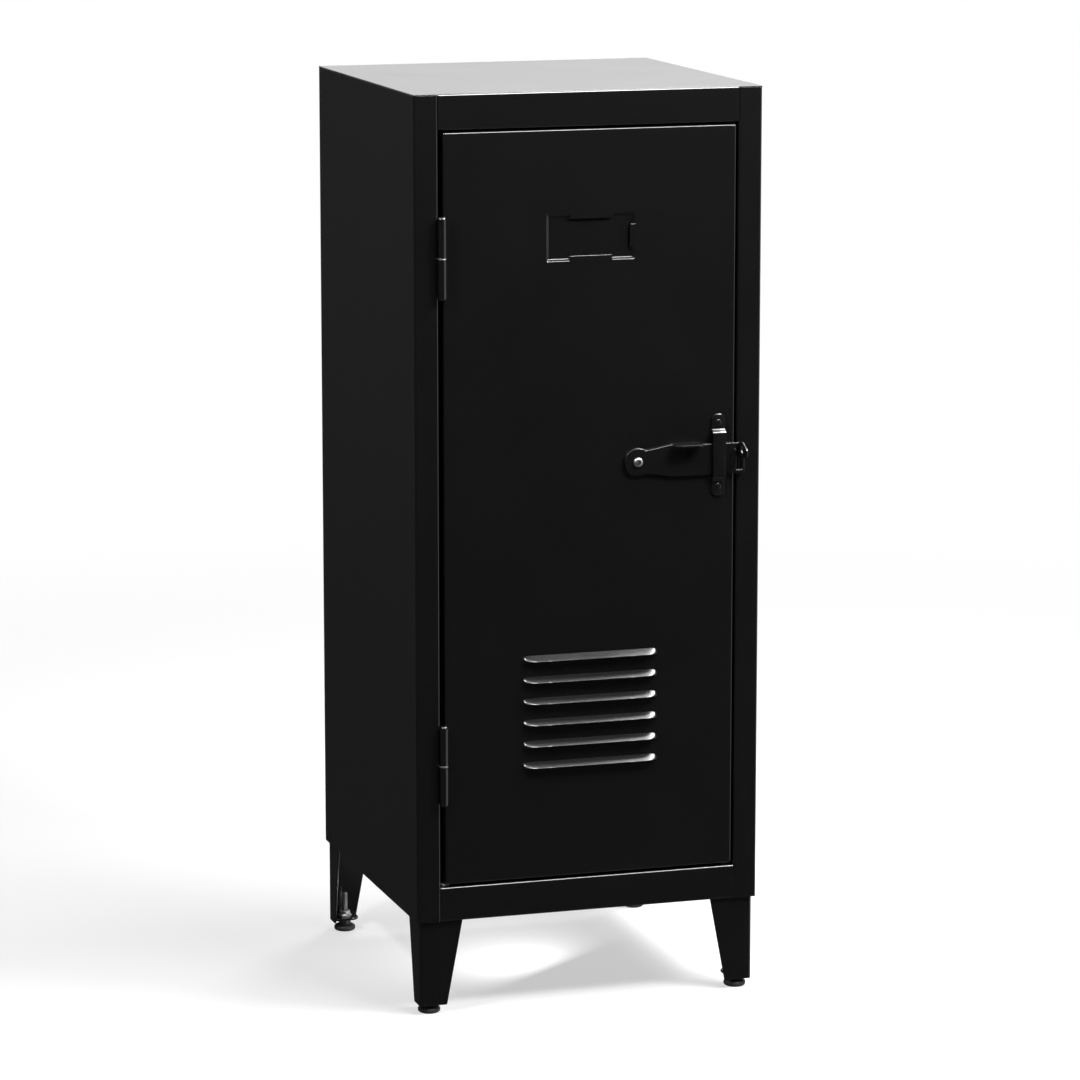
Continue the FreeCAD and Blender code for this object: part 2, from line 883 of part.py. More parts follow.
# Door
def louvre_section(sketch, inset):
    """Bowed section of a louvre, taken in by a sheet's thickness for its hollow."""
    reach = cell("louvre_reach")
    high = cell("louvre_height")
    bow = cell("louvre_round")
    chord = reach * reach + high * high
    lean = root((bow * bow - chord / 4) / chord)
    centre = (high * lean - reach / 2, high / 2 - reach * lean)
    radius = bow - inset
    seat = inset * 1.2 if inset.value > 0 else sheet / 2
    lip = centre[0] - root(radius * radius - centre[1] * centre[1])
    crown = centre[1] + root(radius * radius - (centre[0] - seat) * (centre[0] - seat))
    points = [(lip, 0), (seat, 0), (seat, crown)]
    for start, end in zip(points, points[1:]):
        sketch.addGeometry(Part.LineSegment(flat(start), flat(end)), False)
    ring = Part.Circle(flat(centre), FreeCAD.Vector(0, 0, 1), radius.value)
    ends = [math.atan2((z - centre[1]).value, (y - centre[0]).value) for y, z in (points[2], points[0])]
    sketch.addGeometry(Part.ArcOfCircle(ring, ends[0], ends[1] % (2 * math.pi)), False)
    sketch.addConstraint(Sketcher.Constraint("Coincident", 0, 2, 1, 1))
    sketch.addConstraint(Sketcher.Constraint("Coincident", 1, 2, 2, 1))
    sketch.addConstraint(Sketcher.Constraint("Coincident", 2, 2, 0, 1))
    hold_point(sketch, 0, 1, points[0])
    hold_point(sketch, 0, 2, points[1])
    hold_point(sketch, 1, 2, points[2])
    hold_radius(sketch, 2, radius)


def louvres(body):
    """Row of formed louvres: arched, round-ended and open below."""
    high = cell("louvre_height")
    straight = cell("louvre_length") / 2 - high
    base_z = door_low + cell("louvre_start")
    made = []
    for inset, straight_kind, round_kind in (
        (as_size(0), "Pad", "Revolution"),
        (sheet, "Pocket", "Groove"),
    ):
        run = new_sketch(body, "YZ", (door_mid_x - straight, front, base_z))
        louvre_section(run, inset)
        made.append(grow(body, straight_kind, run, straight * 2, straight_kind == "Pocket"))
        for side in (-1, 1):
            cap = new_sketch(body, "YZ", (door_mid_x + straight * side, front, base_z))
            louvre_section(cap, inset)
            made.append(spin(body, round_kind, cap, "H_Axis", 90, side < 0))
    row = body.newObject("PartDesign::LinearPattern", "louvre_row")
    row.Originals = made
    upright = [feature for feature in body.Origin.OriginFeatures if feature.Role == "Z_Axis"][0]
    row.Direction = (upright, [""])
    bind(row, "Occurrences", cell("louvre_count"))
    bind(row, "Length", cell("louvre_pitch") * (cell("louvre_count") - 1))
    body.Tip = row
    doc.recompute()


def card_recess(body):
    """Pressed pocket for a name card, held by three tabs and open on the left."""
    half_w = cell("card_width") / 2
    high = door_high - cell("card_drop")
    low = high - cell("card_height")
    left = door_mid_x - half_w
    right = door_mid_x + half_w
    middle = (high + low) / 2
    slope = cell("card_slope")
    for kind, spread, depth in (
        ("AdditiveLoft", sheet, cell("card_recess")),
        ("SubtractiveLoft", as_size(0), cell("card_recess") - sheet),
    ):
        mouth = new_sketch(body, "XZ", (0, front + sheet, 0))
        rectangle(mouth, (left - spread, low - spread), (right + spread, high + spread))
        seat = new_sketch(body, "XZ", (0, front + sheet + depth, 0))
        shift = slope - spread
        rectangle(seat, (left + shift, low + shift), (right - shift, high - shift))
        loft(body, kind, mouth, seat)
    tab = cell("card_tab_reach")
    tab_left = door_mid_x - cell("card_tab_length") / 2
    tab_right = door_mid_x + cell("card_tab_length") / 2
    tab_low = middle - cell("card_side_tab") / 2
    tab_high = middle + cell("card_side_tab") / 2
    window = new_sketch(body, "XZ", (0, front, 0))
    polygon(
        window,
        [
            (left, low),
            (tab_left, low),
            (tab_left, low + tab),
            (tab_right, low + tab),
            (tab_right, low),
            (right, low),
            (right, tab_low),
            (right - tab, tab_low),
            (right - tab, tab_high),
            (right, tab_high),
            (right, high),
            (tab_right, high),
            (tab_right, high - tab),
            (tab_left, high - tab),
            (tab_left, high),
            (left, high),
        ],
    )
    pocket(body, window, sheet)


def door_skin():
    """Folded door pan with its card recess, louvres and fixing holes."""
    body = new_body("door_skin")
    depth = cell("door_depth")
    face = new_sketch(body, "XZ", (0, front, 0))
    rectangle(face, (door_left, door_low), (door_right, door_high))
    pad(body, face, depth, True)
    corners = [(x, z) for x in (door_left, door_right) for z in (door_low, door_high)]
    round_last(body, "Y", corners, fold_radius)
    rim = []
    for number, edge in enumerate(body.Tip.Shape.Edges, start=1):
        if abs(edge.BoundBox.YMax - front.value) < 1e-6:
            rim.append(f"Edge{number}")
    round_edges(body, rim, fold_radius * 0.8)
    hollow = new_sketch(body, "XZ", (0, front + sheet, 0))
    rectangle(hollow, (door_left + sheet, door_low + sheet), (door_right - sheet, door_high - sheet))
    pocket(body, hollow, depth - sheet * 2)
    lip = cell("door_lip")
    window = new_sketch(body, "XZ", (0, front + depth - sheet, 0))
    rectangle(window, (door_left + lip, door_low + lip), (door_right - lip, door_high - lip))
    pocket(body, window, sheet)
    card_recess(body)
    louvres(body)
    holes = new_sketch(body, "XZ", (0, front, 0))
    circle(holes, (pivot_x, pivot_z), cell("pivot_thread_radius") + cell("face_play"))
    for spot in keeper_rivet_spots():
        circle(holes, (pivot_x + cell("keeper_offset"), pivot_z + spot), cell("keeper_rivet_radius"))
    pocket(body, holes, sheet)
    return body


# Latch
def slot_spans():
    """Left and right ends of the arm's slot, measured from the pivot."""
    left = catch_x - pivot_x - cell("arm_slot_play")
    right = catch_x + cell("catch_thick") - pivot_x + cell("arm_slot_play")
    return left, right


def latch_arm():
    """Lift arm: round pivot head, widening blade, bent finger tab and the slot for the catch."""
    body = new_body("latch_arm", (pivot_x, front - arm_back, pivot_z))
    thick = cell("arm_thick")
    arm_half = cell("arm_half")
    shoulder = cell("arm_shoulder")
    tab_end = shoulder + cell("tab_length")
    slot_left, slot_right = slot_spans()
    end = slot_right + cell("arm_end_bar")
    upper = arm_half - cell("arm_relief")
    blade = new_sketch(body, "XZ")
    polygon(
        blade,
        [
            (0, -cell("arm_neck_half")),
            (shoulder, -arm_half),
            (end, -arm_half),
            (end, upper),
            (tab_end, upper),
            (tab_end, arm_half),
            (shoulder, arm_half),
            (0, cell("arm_neck_half")),
        ],
    )
    pad(body, blade, thick)
    round_last(body, "Y", [(shoulder, -arm_half)], arm_half * 0.8)
    round_last(body, "Y", [(end, -arm_half), (end, upper)], cell("arm_end_bar") * 0.8)
    head = new_sketch(body, "XZ")
    circle(head, (0, 0), cell("arm_head_radius"))
    pad(body, head, thick)
    finger = new_sketch(body, "XY", (0, 0, arm_half))
    rectangle(finger, (shoulder, -thick - cell("tab_reach")), (tab_end, -thick / 2))
    pad(body, finger, thick, True)
    tip = -thick - cell("tab_reach")
    round_last(body, "Z", [(shoulder, tip), (tab_end, tip)], cell("tab_corner"))
    round_last(body, "X", [(-thick, arm_half - thick)], thick * 0.4)
    slot = new_sketch(body, "XZ", (0, -thick, 0))
    bar = cell("arm_slot_bar")
    rectangle(slot, (slot_left, bar - arm_half), (slot_right, upper - bar))
    pocket(body, slot, thick)
    bore = new_sketch(body, "XZ", (0, -thick, 0))
    circle(bore, (0, 0), cell("pivot_radius") + cell("running_play"))
    pocket(body, bore, thick)
    return body


def pivot_screw():
    """Shouldered screw that the arm turns on."""
    shoulder = arm_front + cell("face_play")
    thread = sheet + cell("nut_height") + sheet
    return button_screw(
        "latch_pivot_screw",
        (pivot_x, front - shoulder, pivot_z),
        90,
        cell("pivot_head_radius"),
        cell("pivot_head_height"),
        [(cell("pivot_radius"), shoulder), (cell("pivot_thread_radius"), thread)],
    )


def pivot_washer():
    """Spacer that holds the arm off the door."""
    body = new_body("latch_pivot_washer", (pivot_x, front, pivot_z))
    sketch = new_sketch(body, "XZ")
    circle(sketch, (0, 0), cell("pivot_washer_radius"))
    circle(sketch, (0, 0), cell("pivot_radius"))
    pad(body, sketch, cell("arm_standoff"))
    return body


def keeper_levels():
    """Top and bottom of the clear space inside the keeper, from the pivot's height."""
    upper = cell("arm_half") - cell("arm_relief") + cell("keeper_lift")
    lower = -cell("arm_half") - cell("keeper_rest")
    return upper, lower


def keeper_rivet_spots():
    """Heights of the two keeper rivets, from the pivot's height."""
    upper, lower = keeper_levels()
    centre = cell("keeper_riser") + cell("keeper_foot") / 2 - cell("keeper_thick") / 4
    return upper + centre, lower - centre


def latch_keeper():
    """Joggled strap that bridges the arm and limits its lift."""
    body = new_body("latch_keeper", (pivot_x + cell("keeper_offset"), front, pivot_z))
    thick = cell("keeper_thick")
    clear = cell("keeper_clear")
    riser = cell("keeper_riser")
    shift = thick * 0.55
    upper, lower = keeper_levels()
    high = upper + riser + cell("keeper_foot")
    low = lower - riser - cell("keeper_foot")
    outer = [
        (-thick, high),
        (-thick, upper + riser + shift),
        (-clear - thick, upper + shift),
        (-clear - thick, lower - shift),
        (-thick, lower - riser - shift),
        (-thick, low),
    ]
    inner = [
        (0, high),
        (0, upper + riser),
        (-clear, upper),
        (-clear, lower),
        (0, lower - riser),
        (0, low),
    ]
    wide = cell("keeper_width") / 2
    sketch = new_sketch(body, "YZ", (-wide, 0, 0))
    polygon(sketch, outer + inner[::-1])
    pad(body, sketch, wide * 2)
    round_last(body, "X", outer[2:4] + [inner[1], inner[4]], thick)
    round_last(body, "X", inner[2:4] + [outer[1], outer[4]], thick * 0.5)
    ends = [(x, z) for x in (-wide, wide) for z in (high, low)]
    round_last(body, "Y", ends, wide * 0.96)
    holes = new_sketch(body, "XZ", (0, -thick, 0))
    for spot in keeper_rivet_spots():
        circle(holes, (0, spot), cell("keeper_rivet_radius"))
    pocket(body, holes, thick)
    return body


def keeper_rivet(name, spot):
    """Flush rivet through the keeper and the door sheet."""
    thick = cell("keeper_thick")
    body = new_body(name, (pivot_x + cell("keeper_offset"), front - thick, pivot_z + spot))
    body.Placement.Rotation = FreeCAD.Rotation(FreeCAD.Vector(1, 0, 0), 90)
    radius = cell("keeper_rivet_radius")
    head = cell("keeper_rivet_head")
    dome = cell("keeper_rivet_dome")
    reach = thick + sheet
    sketch = new_sketch(body, "XZ")
    polygon(
        sketch,
        [
            (0, dome),
            (head * 0.5, dome * 0.85),
            (head * 0.85, dome * 0.45),
            (head, 0),
            (radius, 0),
            (radius, -reach),
            (radius * 1.6, -reach),
            (radius * 1.4, -reach - radius),
            (0, -reach - radius * 1.2),
        ],
    )
    spin(body, "Revolution", sketch, "V_Axis")
    return body


def latch_catch():
    """Hooked plate behind the stile that comes out through its slit, with a padlock eye."""
    body = new_body("latch_catch", (catch_x, front, pivot_z))
    reach = cell("catch_reach")
    play = cell("face_play")
    throat = arm_front + play * 6
    seat = fold_radius + play * 6
    tip = catch_high + cell("catch_barb")
    heel = cell("return_depth") - sheet * 3
    drop = (tip - catch_low) / 2.5
    sketch = new_sketch(body, "YZ")
    polygon(
        sketch,
        [
            (seat, catch_low),
            (seat, catch_low - cell("catch_neck") * 0.7),
            (heel, catch_low - cell("catch_neck") * 0.7),
            (heel, tip),
            (seat, tip),
            (seat, catch_high),
            (-throat, catch_high),
            (-throat, tip),
            (-reach * 0.47, tip),
            (-reach, tip - drop),
            (-reach, catch_low + drop * 0.45),
            (-reach * 0.82, catch_low),
        ],
    )
    pad(body, sketch, cell("catch_thick"))
    round_last(body, "X", [(-throat, tip)], play * 8)
    round_last(body, "X", [(-reach * 0.47, tip)], reach * 0.4)
    round_last(body, "X", [(-reach, tip - drop)], drop * 0.8)
    round_last(body, "X", [(-reach, catch_low + drop * 0.45), (-reach * 0.82, catch_low)], drop * 0.4)
    eye = new_sketch(body, "YZ", (cell("catch_thick"), 0, 0))
    circle(eye, (-reach * 0.5, (catch_low + tip) / 2 - play), cell("padlock_radius"))
    pocket(body, eye, cell("catch_thick"))
    return body


def door_buffer(name, side):
    """Soft button on the stop lip behind the door's latch edge."""
    x = right_inner - cell("stop_lip") / 2
    z = door_mid_z + cell("buffer_spread") * side
    body = new_body(name, (x, stop, z))
    sketch = new_sketch(body, "XZ")
    circle(sketch, (0, 0), cell("buffer_radius"))
    pad(body, sketch, cell("return_depth") - cell("door_depth") - cell("face_play"))
    return body


# Build every piece
keep(side_panel("left_side_panel", -1))
keep(right_side_panel())
keep(top_panel())
keep(bottom_panel())
keep(back_panel())
for level in ("lower", "upper"):
    rise = cell(f"{level}_shelf_rise")
    keep(shelf(f"{level}_shelf", rise))
    keep(shelf_rail(f"{level}_shelf_rail_left", -1, rise))
    keep(shelf_rail(f"{level}_shelf_rail_right", 1, rise))
nuts = []
for place, (side_x, side_y, turn) in FEET.items():
    keep(leg(f"{place}_leg", side_x, side_y, turn))
    keep(foot_glide(f"{place}_foot_glide", side_x, side_y))
    keep(foot_stud(f"{place}_foot_stud", side_x, side_y))
    nuts.append(flanged_nut(f"{place}_nut", side_x, side_y))
keep(group("foot_nuts", nuts))
bolts = []
bolt_nuts = []
for number, (x, y) in enumerate(bolt_spots()):
    bolts.append(
        button_screw(
            f"leg_bolt_{number}",
            (x, y, floor_top),
            0,
            cell("bolt_head_radius"),
            cell("bolt_head_height"),
            [(cell("bolt_radius"), cell("bolt_length"))],
        )
    )
    under = floor_top - sheet - cell("leg_thick")
    bolt_nuts.append(
        plain_nut(
            f"leg_nut_{number}", (x, y, under), 0, cell("nut_flats"), cell("nut_height"), cell("bolt_radius")
        )
    )
keep(group("leg_bolts", bolts))
keep(group("leg_bolt_nuts", bolt_nuts))
washers = []
for level, side in (("lower", -1), ("upper", 1)):
    centre = door_mid_z + cell("hinge_offset") * side
    keep(hinge_leaf(f"{level}_hinge_frame_leaf", centre, -1))
    keep(hinge_leaf(f"{level}_hinge_door_leaf", centre, 1))
    keep(hinge_pin(f"{level}_hinge_pin", centre))
    washers.append(hinge_washer(f"{level}_washer", centre))
keep(group("hinge_washers", washers))
keep(door_skin())
keep(latch_arm())
keep(pivot_screw())
keep(pivot_washer())
keep(
    plain_nut(
        "latch_pivot_nut",
        (pivot_x, front + sheet, pivot_z),
        90,
        cell("nut_flats") * 0.8,
        cell("nut_height"),
        cell("pivot_thread_radius"),
    )
)
keep(latch_keeper())
keep(group("keeper_rivets", [keeper_rivet(f"rivet_{n}", spot) for n, spot in enumerate(keeper_rivet_spots())]))
keep(latch_catch())
keep(group("door_buffers", [door_buffer(f"buffer_{n}", side) for n, side in enumerate((-1, 1))]))
doc.recompute()

# Check and write every piece
for thing in doc.Objects:
    if "Invalid" in thing.State or "Error" in thing.State:
        raise ValueError(f"{thing.Label} did not build: {thing.State}")
os.makedirs("parts", exist_ok=True)
for piece in nodes:
    if piece.Shape.isNull() or not piece.Shape.isValid():
        raise ValueError(f"{piece.Label} has no valid shape")
    piece.Shape.exportStep(f"parts/{piece.Label}.step")
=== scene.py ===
import json
import math

import bmesh
import bpy
from mathutils import Matrix, Vector
from mathutils.bvhtree import BVHTree

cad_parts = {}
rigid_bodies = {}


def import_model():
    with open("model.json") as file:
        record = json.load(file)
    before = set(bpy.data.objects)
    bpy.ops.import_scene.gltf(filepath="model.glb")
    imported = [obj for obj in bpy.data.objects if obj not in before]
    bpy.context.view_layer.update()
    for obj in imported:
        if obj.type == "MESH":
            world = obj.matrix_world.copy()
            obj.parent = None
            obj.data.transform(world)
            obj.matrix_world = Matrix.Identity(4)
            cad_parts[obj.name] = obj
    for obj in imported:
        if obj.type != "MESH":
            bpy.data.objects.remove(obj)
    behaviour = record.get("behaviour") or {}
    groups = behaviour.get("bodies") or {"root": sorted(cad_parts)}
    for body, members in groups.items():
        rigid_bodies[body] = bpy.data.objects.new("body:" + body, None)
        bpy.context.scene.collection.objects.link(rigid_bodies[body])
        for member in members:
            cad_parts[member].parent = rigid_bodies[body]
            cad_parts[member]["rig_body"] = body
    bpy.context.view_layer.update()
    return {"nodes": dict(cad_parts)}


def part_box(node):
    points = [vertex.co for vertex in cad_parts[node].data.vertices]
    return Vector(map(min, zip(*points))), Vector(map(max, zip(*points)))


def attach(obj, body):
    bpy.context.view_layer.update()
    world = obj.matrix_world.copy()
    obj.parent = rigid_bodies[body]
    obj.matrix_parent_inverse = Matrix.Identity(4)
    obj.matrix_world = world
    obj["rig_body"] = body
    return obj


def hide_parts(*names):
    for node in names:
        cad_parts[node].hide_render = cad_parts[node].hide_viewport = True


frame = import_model()
nodes = frame["nodes"]

# Units
MM = 0.001

# Camera: the photograph's viewing angle
CAMERA_PLACE = (-1.37115, -4.37311, 1.28778)
CAMERA_PITCH = 10.535
CAMERA_TURN = 17.42
CAMERA_LENS = 154.83
SENSOR_WIDTH = 36

# Studio room that reflections see: its brightness against the height of the direction
ROOM_LEVELS = [
    (-0.8, 0.1),
    (-0.5, 0.03),
    (-0.3, 0.012),
    (-0.2, 0.002),
    (0.0, 0.002),
    (0.1, 0.01),
    (0.3, 0.03),
    (0.6, 0.06),
    (0.9, 0.13),
]

# How that brightness changes along one axis of the direction: start, end, value at start, value at end
ROOM_BEHIND = (-0.2, 0.5, 1.0, 0.5)
ROOM_RIGHT = (0.5, 0.95, 0.0, 0.6)
ROOM_LEFT = (-0.5, -0.95, 0.0, 0.02)
ROOM_ABOVE = (0.6, 0.75, 0.0, 1.0)
ROOM_FRONT = (-0.12, -0.5, 0.0, 3.0)
ROOM_SHADE = (0.3, 0.8, 0.0, 0.024)
ROOM_SHADE_RISE = (-0.28, -0.06, 1.0, 1.9)

# Strength of the world for all other light
FILL_LIGHT = 0.05

# Lamps: name, place, target, width, height and watts
LAMPS = [
    ("key", (0.49, -1.25, 2.19), (0.0, -0.16, 0.5), 0.6, 0.5, 20),
    ("right_front", (0.95, -0.95, 1.75), (0.0, -0.16, 0.5), 0.4, 0.4, 22),
    ("right_side", (1.4, -0.3, 2.0), (0.07, -0.16, 0.35), 0.8, 0.8, 24),
    ("left_side", (-1.0, -0.6, 1.5), (-0.07, -0.16, 0.3), 0.2, 0.12, 9),
    ("under", (0.0, -0.03, 0.07), (-0.159, 0.172, 0.045), 0.08, 0.04, 0.25),
    ("behind", (0.95, 3.0, 1.6), (0, 0, 0.9), 4.0, 1.2, 18),
    ("overhead_right", (0.8, -0.1, 1.5), (0.07, -0.16, 0.3), 0.6, 0.6, 15),
    ("rim", (0.75, 1.4, 2.3), (0, -0.16, 0.6), 0.5, 0.5, 16),
]

# Floor: solid out to one distance from its middle and gone at another
FLOOR_RADIUS = 5.0
FLOOR_SOLID = 0.8
FLOOR_GONE = 2.5
FLOOR_STEPS = 96
FLOOR_PAINT = 0.5
FLOOR_GLOW = 0.55

# Finishes: the coat's index is above a real coat's, for the strength of its glints
COAT_IOR = 1.9
NOISE_MIDDLE = (0.3, 0.7)
# Painted shade on the zinc: the span of ambient occlusion over which it fades in, and the dark colour
# painted into recesses
PAINTED_SHADE_SPAN = (0.45, 0.95, 0.0, 1.0)
PAINTED_SHADE_COLOUR = (0.02, 0.02, 0.02, 1)

# Rounding of cut edges
PANEL_EASE = 0.3 * MM
LEG_EASE = 0.7 * MM
LATCH_EASE = 0.6 * MM
FINGER_TAB_EASE = 0.2 * MM
KEEPER_EASE = 0.5 * MM
WASHER_EASE = 0.15 * MM
BUFFER_EASE = 0.8 * MM

# Door sheet, in metres
SHEET = 1 * MM
DOOR_CORNER = 2 * MM
DOOR_BEND = 1.6 * MM
DOOR_LIP = 12 * MM
SHEET_EASE = 0.42 * MM

# Louvres
LOUVRE_COUNT = 6
LOUVRE_LENGTH = 138 * MM
LOUVRE_HEIGHT = 5.2 * MM
LOUVRE_REACH = 6.5 * MM
LOUVRE_ROUND = 60 * MM
LOUVRE_CAP = 15 * MM
LOUVRE_BLUNT = 6
LOUVRE_SOFT = 0.4
LOUVRE_PITCH = 21.2 * MM
LOUVRE_START = 111 * MM
LOUVRE_MARGIN = 0.6 * MM
LOUVRE_BOW = 0.5 * MM
LOUVRE_EASE = 0.12 * MM
LOUVRE_RUN_STEPS = 8
LOUVRE_CAP_STEPS = 18
LOUVRE_RISE_STEPS = 14

# Card recess
CARD_WIDTH = 89.5 * MM
CARD_HEIGHT = 46.5 * MM
CARD_DROP = 80.5 * MM
CARD_DEPTH = 2.6 * MM
CARD_SLOPE = 3 * MM
CARD_BEND = 1.4 * MM
CARD_CORNER = 1.2 * MM
CARD_TAB_REACH = 5.5 * MM
CARD_TAB_LENGTH = 43 * MM
CARD_SIDE_TAB = 22.5 * MM
CARD_TAB_ROUND = 1.5 * MM

# Latch: how far the arm's blade stands in front of the door, and the keeper's strap
ARM_FACE = 3.5 * MM
KEEPER_THICK = 1.8 * MM
KEEPER_FOOT = 14.2 * MM
KEEPER_RUN = 5.8 * MM
KEEPER_END = 6.3 * MM

# Fasteners
THREAD_PITCH = 1 * MM
THREAD_DEPTH = 0.55 * MM
GLIDE_HEIGHT = 6.5 * MM
GLIDE_FLATS = 11.6 * MM
NUT_FACE = 0.475
NUT_CORNER = 0.53
NUT_FALL = 0.08
NUT_COUNTERSINK = 0.3 * MM
FOOT_NUT_FLATS = 10 * MM
STUD_BORE = 3.05 * MM
BOLT_RADIUS = 3 * MM
BOLT_HEAD_HEIGHT = 1.8 * MM
PIVOT_HEAD_HEIGHT = 2.6 * MM
PIVOT_RADIUS = 3 * MM
PIVOT_THREAD = 2.5 * MM
RIVET_SHANK = 2 * MM
RIVET_DOME = 0.5 * MM

# Profiles: the glide's disc as shares of its height and radius,
# and the rivet's tail as heights and shares of its shank
GLIDE_DISC = [(0, 0.8), (0.06, 0.87), (0.14, 0.94), (0.24, 0.985), (0.34, 1), (0.56, 1), (0.66, 0.985),
              (0.76, 0.94), (0.86, 0.87), (0.94, 0.79), (1, 0.68)]
RIVET_TAIL = [(0, 0.15), (0.6 * MM, 1.1), (1.6 * MM, 1.4), (2.4 * MM, 1.6), (2.45 * MM, 1)]

# Mesh tolerances, angles of edges and of a corner's steps in degrees, and the plane of the door's front
WELD_DISTANCE = 0.002 * MM
GRID_GAP = 0.03 * MM
CREASE = math.radians(30)
FLAT = math.radians(0.5)
SHARP = 35
SHEET_SHARP = 55
RIM_STEP = 15
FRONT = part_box("left_side_panel")[0][1]


# Numbers

def span(start, end, steps):
    """Evenly spaced values from start to end."""
    return [start + (end - start) * step / steps for step in range(steps + 1)]


def merged(values):
    """Sorted values without near repeats."""
    kept = []
    for value in sorted(values):
        if not kept or value - kept[-1] > GRID_GAP:
            kept.append(value)
    return kept


# Shader nodes

def new_material(name):
    """A material with its node tree and its Principled shader."""
    material = bpy.data.materials.new(name + "_finish")
    material.use_nodes = True
    tree = material.node_tree
    return material, tree, tree.nodes["Principled BSDF"]


def noise(tree, scale, detail, stretch=(1, 1, 1)):
    """Noise fixed to the piece, `scale` features per metre, drawn out along an axis by `stretch`."""
    place = tree.nodes.new("ShaderNodeTexCoord")
    mapping = tree.nodes.new("ShaderNodeMapping")
    mapping.inputs["Scale"].default_value = stretch
    field = tree.nodes.new("ShaderNodeTexNoise")
    field.inputs["Scale"].default_value = scale
    field.inputs["Detail"].default_value = detail
    tree.links.new(place.outputs["Object"], mapping.inputs["Vector"])
    tree.links.new(mapping.outputs["Vector"], field.inputs["Vector"])
    return field.outputs["Fac"]


def spread(tree, value, low, high):
    """Stretches the middle of a noise over the range low to high."""
    field = tree.nodes.new("ShaderNodeMapRange")
    field.inputs["From Min"].default_value = NOISE_MIDDLE[0]
    field.inputs["From Max"].default_value = NOISE_MIDDLE[1]
    field.inputs["To Min"].default_value = low
    field.inputs["To Max"].default_value = high
    tree.links.new(value, field.inputs["Value"])
    return field.outputs["Result"]


def tint(tree, value, low, high):
    """A colour between low and high, chosen by the value."""
    mix = tree.nodes.new("ShaderNodeMix")
    mix.data_type = "RGBA"
    mix.inputs["A"].default_value = (*low, 1)
    mix.inputs["B"].default_value = (*high, 1)
    tree.links.new(value, mix.inputs["Factor"])
    return mix.outputs["Result"]


def bump(tree, height, distance, strength):
    """A surface normal raised by `height` times `distance` metres."""
    field = tree.nodes.new("ShaderNodeBump")
    field.inputs["Distance"].default_value = distance
    field.inputs["Strength"].default_value = strength
    tree.links.new(height, field.inputs["Height"])
    return field.outputs["Normal"]


def ranged(tree, value, start, end, low, high):
    """Carries a value smoothly from low at start to high at end."""
    field = tree.nodes.new("ShaderNodeMapRange")
    field.interpolation_type = "SMOOTHSTEP"
    field.inputs["From Min"].default_value = start
    field.inputs["From Max"].default_value = end
    field.inputs["To Min"].default_value = low
    field.inputs["To Max"].default_value = high
    tree.links.new(value, field.inputs["Value"])
    return field.outputs["Result"]


def painted_recess_shade(tree, colour, depth):
    """Painted shade: a colour that goes dark in corners and holes up to `depth` metres deep, from ambient
    occlusion.
    """
    field = tree.nodes.new("ShaderNodeAmbientOcclusion")
    field.inputs["Distance"].default_value = depth
    unshaded_share = ranged(tree, field.outputs["AO"], *PAINTED_SHADE_SPAN)
    mix = tree.nodes.new("ShaderNodeMix")
    mix.data_type = "RGBA"
    mix.inputs["A"].default_value = PAINTED_SHADE_COLOUR
    tree.links.new(unshaded_share, mix.inputs["Factor"])
    tree.links.new(colour, mix.inputs["B"])
    return mix.outputs["Result"]


# Finishes

def black_coat():
    """Satin black powder coat: a faint orange peel and a slow drift in gloss."""
    material, tree, shader = new_material("black_coat")
    drift = noise(tree, scale=14, detail=3)
    peel = noise(tree, scale=900, detail=2)
    shade = tint(tree, drift, (0.0055, 0.0055, 0.0057), (0.0072, 0.0072, 0.0074))
    tree.links.new(shade, shader.inputs["Base Color"])
    tree.links.new(spread(tree, drift, low=0.2, high=0.21), shader.inputs["Roughness"])
    tree.links.new(bump(tree, peel, distance=0.002 * MM, strength=0.15), shader.inputs["Normal"])
    shader.inputs["IOR"].default_value = COAT_IOR
    return material


def bright_zinc():
    """Bright zinc plating with fine drawn marks, and painted shade that darkens its recesses."""
    material, tree, shader = new_material("bright_zinc")
    cloud = noise(tree, scale=260, detail=4)
    drawn = noise(tree, scale=700, detail=3, stretch=(1, 1, 0.1))
    plating = tint(tree, cloud, (0.62, 0.63, 0.65), (0.82, 0.82, 0.82))
    # Painted shade: ambient occlusion darkens the plating in its recesses, such as screw sockets and
    # threads
    tree.links.new(painted_recess_shade(tree, plating, depth=2 * MM), shader.inputs["Base Color"])
    tree.links.new(spread(tree, cloud, low=0.3, high=0.45), shader.inputs["Roughness"])
    tree.links.new(bump(tree, drawn, distance=0.02 * MM, strength=0.3), shader.inputs["Normal"])
    shader.inputs["Metallic"].default_value = 1
    return material


def glide_plastic():
    """Dark moulded plastic with a fine spark-eroded grain."""
    material, tree, shader = new_material("glide_plastic")
    grain = noise(tree, scale=1500, detail=3)
    shade = tint(tree, grain, (0.03, 0.03, 0.032), (0.05, 0.05, 0.052))
    tree.links.new(shade, shader.inputs["Base Color"])
    tree.links.new(spread(tree, grain, low=0.42, high=0.6), shader.inputs["Roughness"])
    tree.links.new(bump(tree, grain, distance=0.03 * MM, strength=0.4), shader.inputs["Normal"])
    return material


def buffer_rubber():
    """Soft black rubber with a dusty bloom."""
    material, tree, shader = new_material("buffer_rubber")
    bloom = noise(tree, scale=600, detail=4)
    shade = tint(tree, bloom, (0.012, 0.012, 0.012), (0.028, 0.028, 0.027))
    tree.links.new(shade, shader.inputs["Base Color"])
    tree.links.new(spread(tree, bloom, low=0.6, high=0.85), shader.inputs["Roughness"])
    tree.links.new(bump(tree, bloom, distance=0.05 * MM, strength=0.3), shader.inputs["Normal"])
    return material


